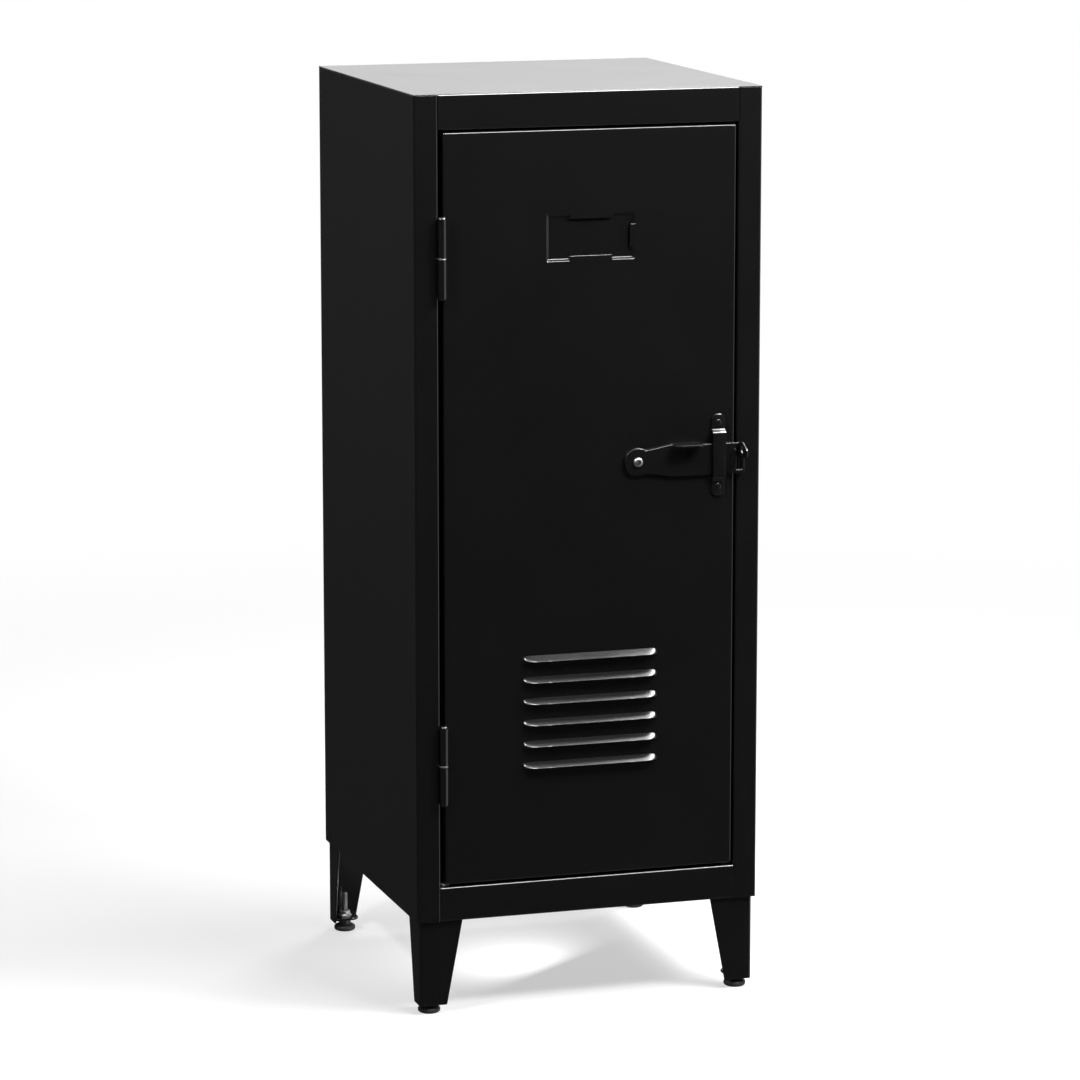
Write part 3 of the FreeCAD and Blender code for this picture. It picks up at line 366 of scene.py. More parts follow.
finishes = {
    "black_coat": black_coat(),
    "bright_zinc": bright_zinc(),
    "glide_plastic": glide_plastic(),
    "buffer_rubber": buffer_rubber(),
}


def slot_name(node):
    """The record's material slot that a CAD node came with."""
    return node.material_slots[0].material.name.split(".")[0]


slots = {name: slot_name(node) for name, node in nodes.items()}
for name, node in nodes.items():
    node.material_slots[0].material = finishes[slots[name]]


# Pieces

def make_piece(name, shape, node_name):
    """Turns a finished bmesh into a piece that stands for one CAD node and moves with its body."""
    bmesh.ops.recalc_face_normals(shape, faces=shape.faces)
    for edge in shape.edges:
        edge.smooth = edge.is_convex or edge.calc_face_angle(0) < CREASE
    mesh = bpy.data.meshes.new(name)
    shape.to_mesh(mesh)
    shape.free()
    mesh.polygons.foreach_set("use_smooth", [True] * len(mesh.polygons))
    mesh.materials.append(finishes[slots[node_name]])
    piece = bpy.data.objects.new(name, mesh)
    bpy.context.scene.collection.objects.link(piece)
    weights = piece.modifiers.new("flat_faces_lead", "WEIGHTED_NORMAL")
    weights.weight = 100
    weights.keep_sharp = True
    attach(piece, nodes[node_name]["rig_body"])
    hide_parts(node_name)


def sharp_edges(shape, corner=SHARP):
    """Edges that stand out of a bmesh and turn by more than the corner's degrees."""
    limit = math.radians(corner)
    return [edge for edge in shape.edges if edge.is_convex and edge.calc_face_angle() > limit]


def ease(shape, sharp, width, segments=2):
    """Rounds edges of a bmesh; a point thrown off the old surface goes back onto it."""
    surface = BVHTree.FromBMesh(shape)
    bmesh.ops.bevel(
        shape,
        geom=sharp,
        offset=width,
        offset_type="OFFSET",
        segments=segments,
        profile=0.5,
        affect="EDGES",
        clamp_overlap=False,
    )
    for vert in shape.verts:
        place, _, _, distance = surface.find_nearest(vert.co)
        if distance > width / 2:
            vert.co = place


def stands_out(edge, face):
    """Whether an edge reaches out in front of a face, given as its y."""
    return min(vert.co.y for vert in edge.verts) < face - SHEET / 10


def welded(node_name):
    """A CAD node's mesh as one closed bmesh with its flat faces whole."""
    shape = bmesh.new()
    shape.from_mesh(nodes[node_name].data)
    bmesh.ops.remove_doubles(shape, verts=shape.verts, dist=WELD_DISTANCE)
    bmesh.ops.dissolve_limit(shape, angle_limit=FLAT, verts=shape.verts, edges=shape.edges)
    return shape


def workpiece(shape):
    """A passing object that holds a bmesh while a modifier works on it."""
    bmesh.ops.recalc_face_normals(shape, faces=shape.faces)
    mesh = bpy.data.meshes.new("workpiece")
    shape.to_mesh(mesh)
    shape.free()
    holder = bpy.data.objects.new("workpiece", mesh)
    bpy.context.scene.collection.objects.link(holder)
    return holder


def finished(holder):
    """The shape that an object's modifiers make of it, as a new bmesh."""
    result = bmesh.new()
    result.from_object(holder, bpy.context.evaluated_depsgraph_get())
    return result


def discard(holder):
    """Removes a passing object and its mesh."""
    mesh = holder.data
    bpy.data.objects.remove(holder)
    bpy.data.meshes.remove(mesh)


def drilled(shape, tool):
    """One bmesh with another cut out of it."""
    blank = workpiece(shape)
    drill = workpiece(tool)
    cut = blank.modifiers.new("holes", "BOOLEAN")
    cut.operation = "DIFFERENCE"
    cut.solver = "EXACT"
    cut.object = drill
    result = finished(blank)
    discard(blank)
    discard(drill)
    return result


def eased_copy(node_name, width):
    """The CAD node's own shape with its cut edges rounded, as powder coat leaves them."""
    shape = welded(node_name)
    ease(shape, sharp_edges(shape), width)
    make_piece(node_name + "_coated", shape, node_name)


def latch_arm():
    """Lift arm with round cut edges and a crisper finger tab."""
    shape = welded("latch_arm")
    blade = FRONT - ARM_FACE
    ease(shape, [edge for edge in sharp_edges(shape) if not stands_out(edge, blade)], LATCH_EASE)
    ease(shape, [edge for edge in sharp_edges(shape) if stands_out(edge, blade)], FINGER_TAB_EASE)
    make_piece("latch_arm_coated", shape, "latch_arm")


def keeper_path(half, rise):
    """Upper half of the keeper's middle line: height, distance from the door and tilt at each station."""
    foot = KEEPER_THICK / 2
    bridge = rise - KEEPER_THICK / 2
    step = bridge - foot
    turn = 2 * math.atan2(step, KEEPER_RUN)
    bend = (KEEPER_RUN ** 2 + step ** 2) / (4 * step)
    seat = half - KEEPER_FOOT
    path = [(half - KEEPER_END * (1 - math.cos(angle)), foot, 0) for angle in span(0, math.pi / 2, 10)]
    for tilt in span(0, turn, 9):
        path.append((seat - bend * math.sin(tilt), foot + bend * (1 - math.cos(tilt)), tilt))
    for tilt in span(turn, 0, 9)[1:]:
        path.append((seat - KEEPER_RUN + bend * math.sin(tilt), bridge - bend * (1 - math.cos(tilt)), tilt))
    return path


def keeper_width(wide, inset):
    """Half the keeper's width at a distance from its rounded end."""
    if inset >= KEEPER_END:
        return wide
    return wide - KEEPER_END + math.sqrt(KEEPER_END ** 2 - (KEEPER_END - inset) ** 2)


def strap(path, low, high):
    """A closed strap along a path of heights, distances from the door and tilts."""
    shape = bmesh.new()
    middle = (low + high) / 2
    half = (high[2] - low[2]) / 2
    wide = (high[0] - low[0]) / 2
    loops = []
    for height, out, tilt in path:
        reach = keeper_width(wide, half - abs(height))
        across = Vector((reach, 0, 0))
        through = Vector((0, -math.cos(tilt), math.sin(tilt))) * KEEPER_THICK / 2
        place = Vector((middle[0], FRONT - out, middle[2] + height))
        corners = [
            place - across + through,
            place + across + through,
            place + across - through,
            place - across - through,
        ]
        loops.append([shape.verts.new(corner) for corner in corners])
    shape.faces.new(loops[0])
    shape.faces.new(reversed(loops[-1]))
    for upper, lower in zip(loops, loops[1:]):
        for side in range(4):
            after = (side + 1) % 4
            shape.faces.new((upper[side], lower[side], lower[after], upper[after]))
    return shape


def latch_keeper():
    """Keeper strap that is joggled over the arm in soft bends and drilled for its rivets."""
    low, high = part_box("latch_keeper")
    upper = keeper_path((high[2] - low[2]) / 2, FRONT - low[1])
    lower = [(-height, out, -tilt) for height, out, tilt in reversed(upper)]
    shape = strap(upper + lower, low, high)
    ease(shape, sharp_edges(shape), KEEPER_EASE)
    tool = bmesh.new()
    for start, end in solid_boxes("keeper_rivets"):
        rings = [(0, RIVET_SHANK), (KEEPER_THICK + 2 * SHEET, RIVET_SHANK)]
        add_turned(tool, rings, facing_front(start, end, FRONT + SHEET), steps=40)
    make_piece("latch_keeper_joggled", drilled(shape, tool), "latch_keeper")


def solid_boxes(node_name):
    """Lowest and highest corner of each separate solid in a CAD node."""
    shape = welded(node_name)
    seen = set()
    boxes = []
    for first in shape.verts:
        if first in seen:
            continue
        seen.add(first)
        island = [first]
        for vert in island:
            for edge in vert.link_edges:
                other = edge.other_vert(vert)
                if other not in seen:
                    seen.add(other)
                    island.append(other)
        low = Vector([min(vert.co[axis] for vert in island) for axis in range(3)])
        high = Vector([max(vert.co[axis] for vert in island) for axis in range(3)])
        boxes.append((low, high))
    shape.free()
    return boxes


# Turned parts

def hexagon(flats, limit=1.0):
    """Radius of a hexagon against the angle, held inside a circle of radius `limit`."""
    def radius(angle):
        turn = (angle + math.pi / 6) % (math.pi / 3) - math.pi / 6
        return min(flats / 2 / math.cos(turn), limit)
    return radius


def thread(outer, height):
    """Radius of a screw thread against the angle, at one height along it."""
    def radius(angle):
        phase = 2 * math.pi * height / THREAD_PITCH - angle
        return outer - THREAD_DEPTH * (0.5 - 0.5 * math.cos(phase))
    return radius


def threaded_rings(start, end, outer, rows=6):
    """Rings of a thread from start to end, with a bevelled tip at each end."""
    count = round((end - start) / THREAD_PITCH * rows)
    rings = []
    for height in span(start, end, count):
        tip = min(height - start, end - height)
        rings.append((height, thread(outer, height) if tip > outer * 0.3 else outer * 0.7 + tip))
    return rings


def ring_points(height, radius, steps):
    """Points of one ring round the z axis; its radius is a length or a function of the angle."""
    points = []
    for step in range(steps):
        angle = 2 * math.pi * step / steps
        reach = radius(angle) if callable(radius) else radius
        points.append(Vector((reach * math.cos(angle), reach * math.sin(angle), height)))
    return points


def add_turned(shape, rings, place, steps=48, bored=False):
    """Adds a turned body to a bmesh from its rings; a bored one closes its last ring on its first."""
    loops = []
    for height, radius in rings:
        loops.append([shape.verts.new(place @ point) for point in ring_points(height, radius, steps)])
    pairs = list(zip(loops, loops[1:]))
    if bored:
        pairs.append((loops[-1], loops[0]))
    else:
        shape.faces.new(reversed(loops[0]))
        shape.faces.new(loops[-1])
    for lower, upper in pairs:
        for step in range(steps):
            after = (step + 1) % steps
            shape.faces.new((lower[step], lower[after], upper[after], upper[step]))


def nut_rings(flats, height, bore):
    """Hexagon nut with both ends chamfered."""
    face = flats * NUT_FACE
    fall = NUT_FALL * flats
    full = hexagon(flats)
    cut = hexagon(flats, flats * NUT_CORNER)
    return [
        (0, bore + NUT_COUNTERSINK),
        (0, face),
        (fall / 2, cut),
        (fall, full),
        (height - fall, full),
        (height - fall / 2, cut),
        (height, face),
        (height, bore + NUT_COUNTERSINK),
        (height - NUT_COUNTERSINK, bore),
        (NUT_COUNTERSINK, bore),
    ]


def head_rings(radius, height):
    """Domed screw head from its underside to the bottom of its hexagon socket."""
    rings = [(0, radius * 0.96), (height * 0.06, radius)]
    for angle in span(0, math.pi / 2, 7):
        rings.append((height * (0.25 + 0.75 * math.sin(angle)), radius * (0.5 + 0.5 * math.cos(angle))))
    socket = hexagon(radius * 0.96)
    rings += [(height, radius * 0.58), (height * 0.94, socket)]
    rings += [(height * 0.2, socket), (height * 0.12, 0.1 * MM)]
    return rings


def standing(low, high, level):
    """Placement of an upright turned part that starts at a level, in the middle of a box."""
    return Matrix.Translation(((low[0] + high[0]) / 2, (low[1] + high[1]) / 2, level))


def facing_front(low, high, depth):
    """Placement of a turned part that starts at a depth and points to the front, amid a box."""
    place = Matrix.Translation(((low[0] + high[0]) / 2, depth, (low[2] + high[2]) / 2))
    return place @ Matrix.Rotation(math.pi / 2, 4, "X")


def foot_stud(place):
    """Threaded stud of one levelling foot."""
    low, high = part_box(place + "_foot_stud")
    shape = bmesh.new()
    outer = (high[0] - low[0]) / 2
    rings = threaded_rings(0, high[2] - low[2], outer)
    add_turned(shape, rings, standing(low, high, low[2]), steps=28)
    make_piece(place + "_threaded_stud", shape, place + "_foot_stud")


def foot_glide(place):
    """Moulded glide with a rounded rim and the hexagon that it is turned by."""
    low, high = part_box(place + "_foot_glide")
    shape = bmesh.new()
    radius = (high[0] - low[0]) / 2
    rings = [(height * GLIDE_HEIGHT, reach * radius) for height, reach in GLIDE_DISC]
    top = high[2] - low[2]
    collar = hexagon(GLIDE_FLATS, GLIDE_FLATS * 0.56)
    rings += [(GLIDE_HEIGHT, collar), (top - 0.5 * MM, collar), (top, hexagon(GLIDE_FLATS * 0.93))]
    add_turned(shape, rings, standing(low, high, low[2]), steps=72)
    make_piece(place + "_moulded_glide", shape, place + "_foot_glide")


def foot_nuts():
    """Flanged weld nuts on the foot tabs."""
    shape = bmesh.new()
    for low, high in solid_boxes("foot_nuts"):
        height = high[2] - low[2]
        rim = (high[0] - low[0]) / 2
        full = hexagon(FOOT_NUT_FLATS)
        rings = [
            (0, STUD_BORE),
            (0, rim * 0.96),
            (height * 0.05, rim),
            (height * 0.17, rim),
            (height * 0.22, rim * 0.97),
            (height * 0.4, hexagon(FOOT_NUT_FLATS * 1.04)),
            (height * 0.46, full),
            (height * 0.84, full),
            (height * 0.93, hexagon(FOOT_NUT_FLATS, FOOT_NUT_FLATS * NUT_CORNER)),
            (height, FOOT_NUT_FLATS * NUT_FACE),
            (height, STUD_BORE),
        ]
        add_turned(shape, rings, standing(low, high, low[2]), bored=True)
    make_piece("foot_nuts_flanged", shape, "foot_nuts")


def leg_bolts():
    """Button-head bolts that hold the legs, seen on the locker's floor."""
    shape = bmesh.new()
    for low, high in solid_boxes("leg_bolts"):
        seat = high[2] - BOLT_HEAD_HEIGHT
        rings = threaded_rings(low[2] - seat, 0, BOLT_RADIUS, rows=4)
        rings += head_rings((high[0] - low[0]) / 2, BOLT_HEAD_HEIGHT)
        add_turned(shape, rings, standing(low, high, seat), steps=36)
    make_piece("leg_bolts_threaded", shape, "leg_bolts")


def leg_bolt_nuts():
    """Chamfered nuts under the leg bolts."""
    shape = bmesh.new()
    for low, high in solid_boxes("leg_bolt_nuts"):
        rings = nut_rings(min(high[0] - low[0], high[1] - low[1]), high[2] - low[2], BOLT_RADIUS)
        add_turned(shape, rings, standing(low, high, low[2]), bored=True)
    make_piece("leg_bolt_nuts_chamfered", shape, "leg_bolt_nuts")


def pivot_screw():
    """Shouldered socket screw that the latch arm turns on."""
    low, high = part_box("latch_pivot_screw")
    shape = bmesh.new()
    seat = low[1] + PIVOT_HEAD_HEIGHT
    shoulder = seat - FRONT
    rings = threaded_rings(seat - high[1], shoulder, PIVOT_THREAD)
    rings += [(shoulder, PIVOT_RADIUS), (0, PIVOT_RADIUS)]
    rings += head_rings((high[0] - low[0]) / 2, PIVOT_HEAD_HEIGHT)
    add_turned(shape, rings, facing_front(low, high, seat), steps=60)
    make_piece("latch_pivot_screw_socketed", shape, "latch_pivot_screw")


def pivot_nut():
    """Chamfered nut behind the door on the pivot screw."""
    low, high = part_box("latch_pivot_nut")
    shape = bmesh.new()
    flats = min(high[0] - low[0], high[2] - low[2])
    rings = nut_rings(flats, high[1] - low[1], PIVOT_THREAD)
    add_turned(shape, rings, facing_front(low, high, high[1]), bored=True)
    make_piece("latch_pivot_nut_chamfered", shape, "latch_pivot_nut")


def keeper_rivets():
    """Nearly flush rivets through the feet of the keeper."""
    shape = bmesh.new()
    for low, high in solid_boxes("keeper_rivets"):
        reach = high[1] - low[1]
        radius = (high[0] - low[0]) / 2
        rings = [(height, RIVET_SHANK * share) for height, share in RIVET_TAIL]
        rings.append((reach - RIVET_DOME, RIVET_SHANK))
        for angle in span(0, math.pi / 2 * 0.96, 6):
            rings.append((reach - RIVET_DOME * (1 - math.sin(angle)), radius * math.cos(angle)))
        add_turned(shape, rings, facing_front(low, high, high[1]), steps=40)
    make_piece("keeper_rivets_domed", shape, "keeper_rivets")


# Door

def louvre_curve():
    """Height of a louvre above the door against the distance from its lip, as an arc."""
    chord = math.hypot(LOUVRE_HEIGHT, LOUVRE_REACH)
    back = math.sqrt(LOUVRE_ROUND ** 2 - chord ** 2 / 4)
    centre_r = LOUVRE_HEIGHT / 2 - back * LOUVRE_REACH / chord
    centre_h = LOUVRE_REACH / 2 - back * LOUVRE_HEIGHT / chord

    def height(distance):
        return centre_h + math.sqrt(LOUVRE_ROUND ** 2 - (distance - centre_r) ** 2)
    return height


class DoorShape:
    """The front of the door: where its louvres, card recess and card tabs lie."""

    def __init__(self):
        low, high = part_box("door_skin")
        self.left, self.right = low[0], high[0]
        self.low, self.high = low[2], high[2]
        self.back = high[1]
        self.middle = (self.left + self.right) / 2
        self.half_louvre = LOUVRE_LENGTH / 2
        self.lips = [self.low + LOUVRE_START + LOUVRE_PITCH * index for index in range(LOUVRE_COUNT)]
        self.curve = louvre_curve()
        top = self.high - CARD_DROP
        half = CARD_WIDTH / 2
        self.card = (self.middle - half, top - CARD_HEIGHT, self.middle + half, top)
        self.tabs = self.card_tabs()

    def card_tabs(self):
        """Each tab's rectangle and the direction it points in from its root."""
        left, low, right, high = self.card
        half = CARD_TAB_LENGTH / 2
        side = CARD_SIDE_TAB / 2
        centre = (low + high) / 2
        return [
            ((self.middle - half, high - CARD_TAB_REACH, self.middle + half, high), (0, -1)),
            ((self.middle - half, low, self.middle + half, low + CARD_TAB_REACH), (0, 1)),
            ((right - CARD_TAB_REACH, centre - side, right, centre + side), (-1, 0)),
        ]

    def closing(self, x):
        """How far the louvres have closed at x: 0 along their straight run, 1 at their tips."""
        into_cap = abs(x - self.middle) - self.half_louvre + LOUVRE_CAP
        share = max(into_cap, 0) / LOUVRE_CAP
        return LOUVRE_SOFT * share ** 2 + (1 - LOUVRE_SOFT) * share ** LOUVRE_BLUNT

    def louvre(self, x, z, lip):
        """Height of one louvre above the door: blunt round ends and a slight bow from end to end."""
        distance = math.hypot(LOUVRE_HEIGHT * self.closing(x), z - lip)
        if z < lip - GRID_GAP or distance > LOUVRE_HEIGHT:
            return 0
        bow = 1 - LOUVRE_BOW / LOUVRE_REACH * ((x - self.middle) / self.half_louvre) ** 2
        return max(self.curve(distance), 0) * bow

    def outlined(self, x, z):
        """Level of a grid point, drawn in so that the rows follow the round outline of a louvre's end."""
        if abs(x - self.middle) > self.half_louvre + GRID_GAP:
            return z
        for lip in self.lips:
            if lip <= z <= lip + LOUVRE_HEIGHT + GRID_GAP:
                return lip + (z - lip) * math.sqrt(1 - min(self.closing(x), 1) ** 2)
        return z

    def recess(self, x, z):
        """Depth of the card recess below the door, with sloped walls and a bend at top and foot."""
        left, low, right, high = self.card
        reach_x = abs(x - (left + right) / 2) - (right - left) / 2 + CARD_CORNER
        reach_z = abs(z - (low + high) / 2) - (high - low) / 2 + CARD_CORNER
        outside = math.hypot(max(reach_x, 0), max(reach_z, 0)) + min(max(reach_x, reach_z), 0)
        inside = CARD_CORNER - outside
        if inside <= 0:
            return 0
        if inside >= CARD_SLOPE:
            return CARD_DEPTH
        steep = CARD_DEPTH / (CARD_SLOPE - CARD_BEND)
        if inside < CARD_BEND:
            return steep * inside ** 2 / (2 * CARD_BEND)
        if inside > CARD_SLOPE - CARD_BEND:
            return CARD_DEPTH - steep * (CARD_SLOPE - inside) ** 2 / (2 * CARD_BEND)
        return steep * (inside - CARD_BEND / 2)

    def columns(self):
        """Upright grid lines."""
        left, _, right, _ = self.card
        lines = [self.left + DOOR_CORNER, self.right - DOOR_CORNER]
        for side in (-1, 1):
            tip = self.middle + side * self.half_louvre
            lines += span(self.middle, tip - side * LOUVRE_CAP, LOUVRE_RUN_STEPS)
            lines += [tip - side * LOUVRE_CAP * share ** 2 for share in span(0, 1, LOUVRE_CAP_STEPS)]
            lines.append(tip + side * LOUVRE_MARGIN)
        lines += wall_lines(left, 1) + wall_lines(right, -1)
        for (x0, _, x1, _), _ in self.tabs:
            lines += corner_lines(x0, x1)
        return merged(lines)

    def rows(self):
        """Level grid lines."""
        _, low, _, high = self.card
        lines = [self.low + DOOR_CORNER, self.high - DOOR_CORNER]
        for lip in self.lips:
            lines += span(lip, lip + LOUVRE_HEIGHT, LOUVRE_RISE_STEPS)
            lines += [lip - LOUVRE_MARGIN, lip + LOUVRE_HEIGHT + LOUVRE_MARGIN]
        lines += wall_lines(low, 1) + wall_lines(high, -1)
        for (_, z0, _, z1), _ in self.tabs:
            lines += corner_lines(z0, z1)
        return merged(lines)

    def tab_at(self, x, z):
        """The tab that covers a point, if any."""
        for (x0, z0, x1, z1), aim in self.tabs:
            if x0 < x < x1 and z0 < z < z1:
                return (x0, z0, x1, z1), aim
        return None

    def lip_at(self, z):
        """The lip that lies on a grid row, if any."""
        for lip in self.lips:
            if abs(z - lip) < GRID_GAP:
                return lip
        return None

    def sheet_point(self, x, z):
        """A point on the door's own sheet; on a lip's row, the sheet below the slit."""
        level = self.outlined(x, z)
        rise = -self.recess(x, level)
        if self.lip_at(z) is None:
            rise += max(self.louvre(x, level, lip) for lip in self.lips)
        return Vector((x, FRONT - rise, level))


def wall_lines(edge, side):
    """Grid lines across one sloped wall of the card recess, from its edge inwards."""
    bend = span(0, CARD_BEND, 3) + span(CARD_SLOPE - CARD_BEND, CARD_SLOPE, 3)
    return [edge + side * line for line in bend]


def corner_lines(start, end):
    """Grid lines across the rounded corners of a tab."""
    return span(start, start + CARD_TAB_ROUND, 4) + span(end - CARD_TAB_ROUND, end, 4)


def rounded_tab(x, z, tab, aim):
    """Moves a grid point of a tab so that the tab's two free corners come out round."""
    x0, z0, x1, z1 = tab
    middle = ((x0 + x1) / 2, (z0 + z1) / 2)
    half = ((x1 - x0) / 2, (z1 - z0) / 2)
    offset = (x - middle[0], z - middle[1])
    excess = [max(abs(offset[axis]) - half[axis] + CARD_TAB_ROUND, 0) / CARD_TAB_ROUND for axis in (0, 1)]
    along = offset[0] * aim[0] + offset[1] * aim[1]
    if along <= 0 or not all(excess):
        return Vector((x, FRONT, z))
    bent = (excess[0] * math.sqrt(1 - excess[1] ** 2 / 2), excess[1] * math.sqrt(1 - excess[0] ** 2 / 2))
    place = [
        middle[axis] + math.copysign(half[axis] + CARD_TAB_ROUND * (bent[axis] - 1), offset[axis])
        for axis in (0, 1)
    ]
    return Vector((place[0], FRONT, place[1]))


def on_root(x, z, tab, aim):
    """Whether a grid point lies on the line where a tab joins the door."""
    x0, z0, x1, z1 = tab
    root = {(0, -1): z - z1, (0, 1): z - z0, (-1, 0): x - x1}[aim]
    return abs(root) < GRID_GAP


class DoorSheet:
    """The door's sheet as a bmesh: a grid for its front, then its folded edges."""

    def __init__(self, form):
        self.form = form
        self.shape = bmesh.new()
        self.points = {}
        self.columns = form.columns()
        self.rows = form.rows()

    def vertex(self, column, row, layer):
        """The vertex of a grid point on the sheet, on a louvre's lip or on a tab."""
        key = (column, row, layer)
        if key not in self.points:
            x, z = self.columns[column], self.rows[row]
            if layer == "sheet":
                place = self.form.sheet_point(x, z)
            elif layer == "lip":
                place = Vector((x, FRONT - self.form.louvre(x, z, self.form.lip_at(z)), z))
            else:
                place = rounded_tab(x, z, *layer)
            self.points[key] = self.shape.verts.new(place)
        return self.points[key]

    def layer(self, column, row, bottom, tab):
        """The layer on which a cell meets a grid point; `bottom` marks the cell's lower row."""
        x, z = self.columns[column], self.rows[row]
        if tab:
            return "sheet" if on_root(x, z, *tab) else tab
        lip = self.form.lip_at(z)
        if bottom and lip is not None and self.form.louvre(x, z, lip) > 0:
            return "lip"
        return "sheet"

    def front(self):
        """The grid of the door's front."""
        for column in range(len(self.columns) - 1):
            for row in range(len(self.rows) - 1):
                x = (self.columns[column] + self.columns[column + 1]) / 2
                z = (self.rows[row] + self.rows[row + 1]) / 2
                tab = self.form.tab_at(x, z)
                corners = [(column, row), (column + 1, row), (column + 1, row + 1), (column, row + 1)]
                self.shape.faces.new([
                    self.vertex(i, j, self.layer(i, j, j == row, tab)) for i, j in corners
                ])

    def stations(self):
        """Each point round the grid's rim with the direction out of the door."""
        right, high = len(self.columns) - 1, len(self.rows) - 1
        sides = [
            ([(i, 0) for i in range(right + 1)], -90),
            ([(right, j) for j in range(high + 1)], 0),
            ([(i, high) for i in range(right, -1, -1)], 90),
            ([(0, j) for j in range(high, -1, -1)], 180),
        ]
        rim = []
        for points, turn in sides:
            rim += [(self.vertex(i, j, "sheet"), turn) for i, j in points]
            corner = self.vertex(*points[-1], "sheet")
            rim += [(corner, turn + extra) for extra in range(RIM_STEP, 90, RIM_STEP)]
        return rim

    def folds(self):
        """The door's edge from its front bend to its back lip, as insets and depths."""
        path = []
        back = self.form.back
        for angle in span(0, math.pi / 2, 6):
            path.append((DOOR_BEND * (1 - math.sin(angle)), FRONT + DOOR_BEND * (1 - math.cos(angle))))
        for angle in span(0, math.pi / 2, 6):
            path.append((DOOR_BEND * (1 - math.cos(angle)), back - DOOR_BEND * (1 - math.sin(angle))))
        path.append((DOOR_LIP, back))
        return path

    def edge(self):
        """Folds the sheet back round the door and inwards as a lip."""
        rim = self.stations()
        loops = [[vertex for vertex, turn in rim]]
        for inset, depth in self.folds():
            places = [self.folded(vertex.co, turn, inset, depth) for vertex, turn in rim]
            loops.append([self.shape.verts.new(place) for place in places])
        for outer, inner in zip(loops, loops[1:]):
            for step in range(len(rim)):
                after = (step + 1) % len(rim)
                corners = [outer[step], inner[step], inner[after], outer[after]]
                corners = list(dict.fromkeys(corners))
                if len(corners) > 2:
                    self.shape.faces.new(corners)

    def folded(self, point, turn, inset, depth):
        """A rim point carried out or in to an inset from the door's outline."""
        out = DOOR_CORNER - inset
        if out >= 0:
            x = point.x + out * math.cos(math.radians(turn))
            z = point.z + out * math.sin(math.radians(turn))
        else:
            x = min(max(point.x, self.form.left + inset), self.form.right - inset)
            z = min(max(point.z, self.form.low + inset), self.form.high - inset)
        return Vector((x, depth, z))


def thickened(shape):
    """Gives a sheet its thickness towards the inside and returns it as a new bmesh."""
    sheet = workpiece(shape)
    solid = sheet.modifiers.new("thickness", "SOLIDIFY")
    solid.thickness = SHEET
    solid.offset = -1
    solid.use_even_offset = True
    solid.use_quality_normals = True
    result = finished(sheet)
    discard(sheet)
    return result


def door_skin():
    """Folded door with formed louvres and a tabbed card recess."""
    sheet = DoorSheet(DoorShape())
    sheet.front()
    sheet.edge()
    bmesh.ops.remove_doubles(sheet.shape, verts=sheet.shape.verts, dist=WELD_DISTANCE)
    shape = thickened(sheet.shape)
    flush = [edge for edge in sharp_edges(shape, SHEET_SHARP) if not stands_out(edge, FRONT)]
    ease(shape, flush, SHEET_EASE)
    raised = [edge for edge in sharp_edges(shape, SHEET_SHARP) if stands_out(edge, FRONT)]
    ease(shape, raised, LOUVRE_EASE)
    make_piece("door_skin_formed", shape, "door_skin")


# Studio

def joined(tree, operation, first, second):
    """Two values joined by one operation."""
    field = tree.nodes.new("ShaderNodeMath")
    field.operation = operation
    tree.links.new(first, field.inputs[0])
    tree.links.new(second, field.inputs[1])
    return field.outputs["Value"]


def mirrored_room(tree):
    """What reflections see: a dim studio, brighter overhead and to the right."""
    place = tree.nodes.new("ShaderNodeTexCoord")
    split = tree.nodes.new("ShaderNodeSeparateXYZ")
    tree.links.new(place.outputs["Generated"], split.inputs["Vector"])
    ramp = tree.nodes.new("ShaderNodeValToRGB")
    stops = ramp.color_ramp.elements
    for height, level in ROOM_LEVELS:
        stops.new((height + 1) / 2).color = (level, level, level, 1)
    stops[0].color = stops[1].color
    stops[-1].color = stops[-2].color
    lift = tree.nodes.new("ShaderNodeMapRange")
    lift.inputs["From Min"].default_value = -1
    tree.links.new(split.outputs["Z"], lift.inputs["Value"])
    tree.links.new(lift.outputs["Result"], ramp.inputs["Fac"])
    front = ranged(tree, split.outputs["Y"], *ROOM_BEHIND)
    right = ranged(tree, split.outputs["X"], *ROOM_RIGHT)
    left = ranged(tree, split.outputs["X"], *ROOM_LEFT)
    above = ranged(tree, split.outputs["Z"], *ROOM_ABOVE)
    before = ranged(tree, split.outputs["Y"], *ROOM_FRONT)
    ceiling = joined(tree, "MULTIPLY", above, before)
    sides = joined(tree, "ADD", joined(tree, "ADD", left, right), ceiling)
    shade = ranged(tree, split.outputs["Y"], *ROOM_SHADE)
    rise = ranged(tree, split.outputs["Z"], *ROOM_SHADE_RISE)
    shade = joined(tree, "MULTIPLY", shade, rise)
    room = joined(tree, "MULTIPLY", ramp.outputs["Color"], front)
    return joined(tree, "ADD", joined(tree, "ADD", room, shade), sides)


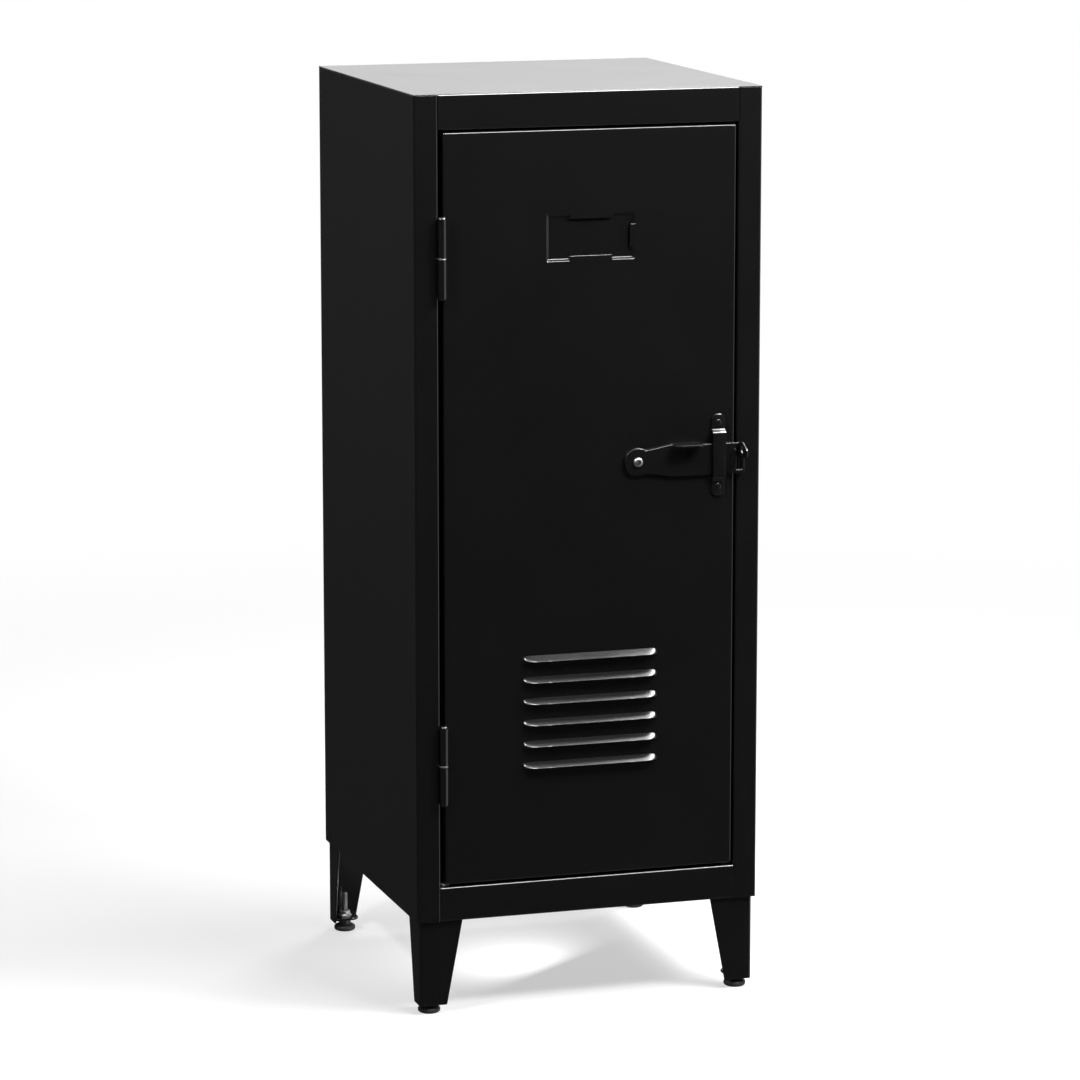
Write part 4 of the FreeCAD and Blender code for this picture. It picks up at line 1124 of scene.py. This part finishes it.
def studio_world():
    """White for the camera and through clear things; reflections see the dim room, not the white."""
    world = bpy.data.worlds.new("studio")
    world.use_nodes = True
    tree = world.node_tree
    background = tree.nodes["Background"]
    background.inputs["Color"].default_value = (1, 1, 1, 1)
    path = tree.nodes.new("ShaderNodeLightPath")
    mirror = tree.nodes.new("ShaderNodeMix")
    mirror.inputs["A"].default_value = FILL_LIGHT
    tree.links.new(path.outputs["Is Glossy Ray"], mirror.inputs["Factor"])
    tree.links.new(mirrored_room(tree), mirror.inputs["B"])
    clear = joined(tree, "MAXIMUM", path.outputs["Is Camera Ray"], path.outputs["Is Transmission Ray"])
    seen = tree.nodes.new("ShaderNodeMix")
    seen.inputs["B"].default_value = 1.0
    tree.links.new(clear, seen.inputs["Factor"])
    tree.links.new(mirror.outputs["Result"], seen.inputs["A"])
    tree.links.new(seen.outputs["Result"], background.inputs["Strength"])
    world.cycles.sampling_method = "NONE"
    bpy.context.scene.world = world


def softbox(name, place, target, width, height, power):
    """An area lamp that faces its target."""
    lamp = bpy.data.lights.new(name, "AREA")
    lamp.shape = "RECTANGLE"
    lamp.size = width
    lamp.size_y = height
    lamp.energy = power
    holder = bpy.data.objects.new(name, lamp)
    holder.location = place
    holder.rotation_euler = (Vector(target) - Vector(place)).to_track_quat("-Z", "Y").to_euler()
    bpy.context.scene.collection.objects.link(holder)
    holder.visible_camera = False


def floor_disc():
    """The floor's mesh, a flat disc."""
    ring = []
    for step in range(FLOOR_STEPS):
        angle = 2 * math.pi * step / FLOOR_STEPS
        ring.append((FLOOR_RADIUS * math.cos(angle), FLOOR_RADIUS * math.sin(angle), 0))
    mesh = bpy.data.meshes.new("floor")
    mesh.from_pydata(ring, [], [list(range(FLOOR_STEPS))])
    return mesh


def faded(tree, solid, clear):
    """One shader that gives way to another with the distance from the middle of the floor."""
    place = tree.nodes.new("ShaderNodeTexCoord")
    far = tree.nodes.new("ShaderNodeVectorMath")
    far.operation = "LENGTH"
    tree.links.new(place.outputs["Object"], far.inputs[0])
    mix = tree.nodes.new("ShaderNodeMixShader")
    fade = ranged(tree, far.outputs["Value"], FLOOR_SOLID, FLOOR_GONE, 0.0, 1.0)
    tree.links.new(fade, mix.inputs["Fac"])
    tree.links.new(solid, mix.inputs[1])
    tree.links.new(clear, mix.inputs[2])
    return mix.outputs["Shader"]


def floor_finish():
    """Pale paint that keeps the shadow, with a glow that only the camera sees."""
    material = bpy.data.materials.new("pale_floor")
    material.use_nodes = True
    tree = material.node_tree
    tree.nodes.remove(tree.nodes["Principled BSDF"])
    paint = tree.nodes.new("ShaderNodeBsdfDiffuse")
    paint.inputs["Color"].default_value = (FLOOR_PAINT, FLOOR_PAINT, FLOOR_PAINT, 1)
    glow = tree.nodes.new("ShaderNodeEmission")
    glow.inputs["Color"].default_value = (FLOOR_GLOW, FLOOR_GLOW, FLOOR_GLOW, 1)
    path = tree.nodes.new("ShaderNodeLightPath")
    tree.links.new(path.outputs["Is Camera Ray"], glow.inputs["Strength"])
    lit = tree.nodes.new("ShaderNodeAddShader")
    tree.links.new(paint.outputs["BSDF"], lit.inputs[0])
    tree.links.new(glow.outputs["Emission"], lit.inputs[1])
    clear = tree.nodes.new("ShaderNodeBsdfTransparent")
    surface = faded(tree, lit.outputs["Shader"], clear.outputs["BSDF"])
    tree.links.new(surface, tree.nodes["Material Output"].inputs["Surface"])
    return material


def studio_floor():
    """A pale round floor that fades into the white round it; reflections don't see it."""
    mesh = floor_disc()
    mesh.materials.append(floor_finish())
    floor = bpy.data.objects.new("floor", mesh)
    bpy.context.scene.collection.objects.link(floor)
    floor.visible_glossy = False


def photo_camera():
    """The camera, at the photograph's viewing angle."""
    lens = bpy.data.cameras.new("camera")
    lens.lens = CAMERA_LENS
    lens.sensor_width = SENSOR_WIDTH
    camera = bpy.data.objects.new("camera", lens)
    camera.location = CAMERA_PLACE
    camera.rotation_euler = (math.radians(90 - CAMERA_PITCH), 0, math.radians(-CAMERA_TURN))
    bpy.context.scene.collection.objects.link(camera)
    bpy.context.scene.camera = camera


for name in ("left_side_panel", "right_side_panel", "top_panel", "bottom_panel", "back_panel"):
    eased_copy(name, PANEL_EASE)
latch_arm()
latch_keeper()
eased_copy("latch_catch", LATCH_EASE)
for name in ("hinge_washers", "latch_pivot_washer"):
    eased_copy(name, WASHER_EASE)
eased_copy("door_buffers", BUFFER_EASE)
for level in ("lower", "upper"):
    eased_copy(level + "_hinge_frame_leaf", PANEL_EASE)
    eased_copy(level + "_hinge_door_leaf", PANEL_EASE)
    eased_copy(level + "_shelf", PANEL_EASE)
    for side in ("left", "right"):
        eased_copy(f"{level}_shelf_rail_{side}", PANEL_EASE)
for place in ("front_left", "front_right", "back_right", "back_left"):
    eased_copy(place + "_leg", LEG_EASE)
    foot_stud(place)
    foot_glide(place)
foot_nuts()
leg_bolts()
leg_bolt_nuts()
pivot_screw()
pivot_nut()
keeper_rivets()
door_skin()

bpy.context.scene.view_settings.view_transform = "Standard"
photo_camera()
studio_world()
studio_floor()
for lamp in LAMPS:
    softbox(*lamp)
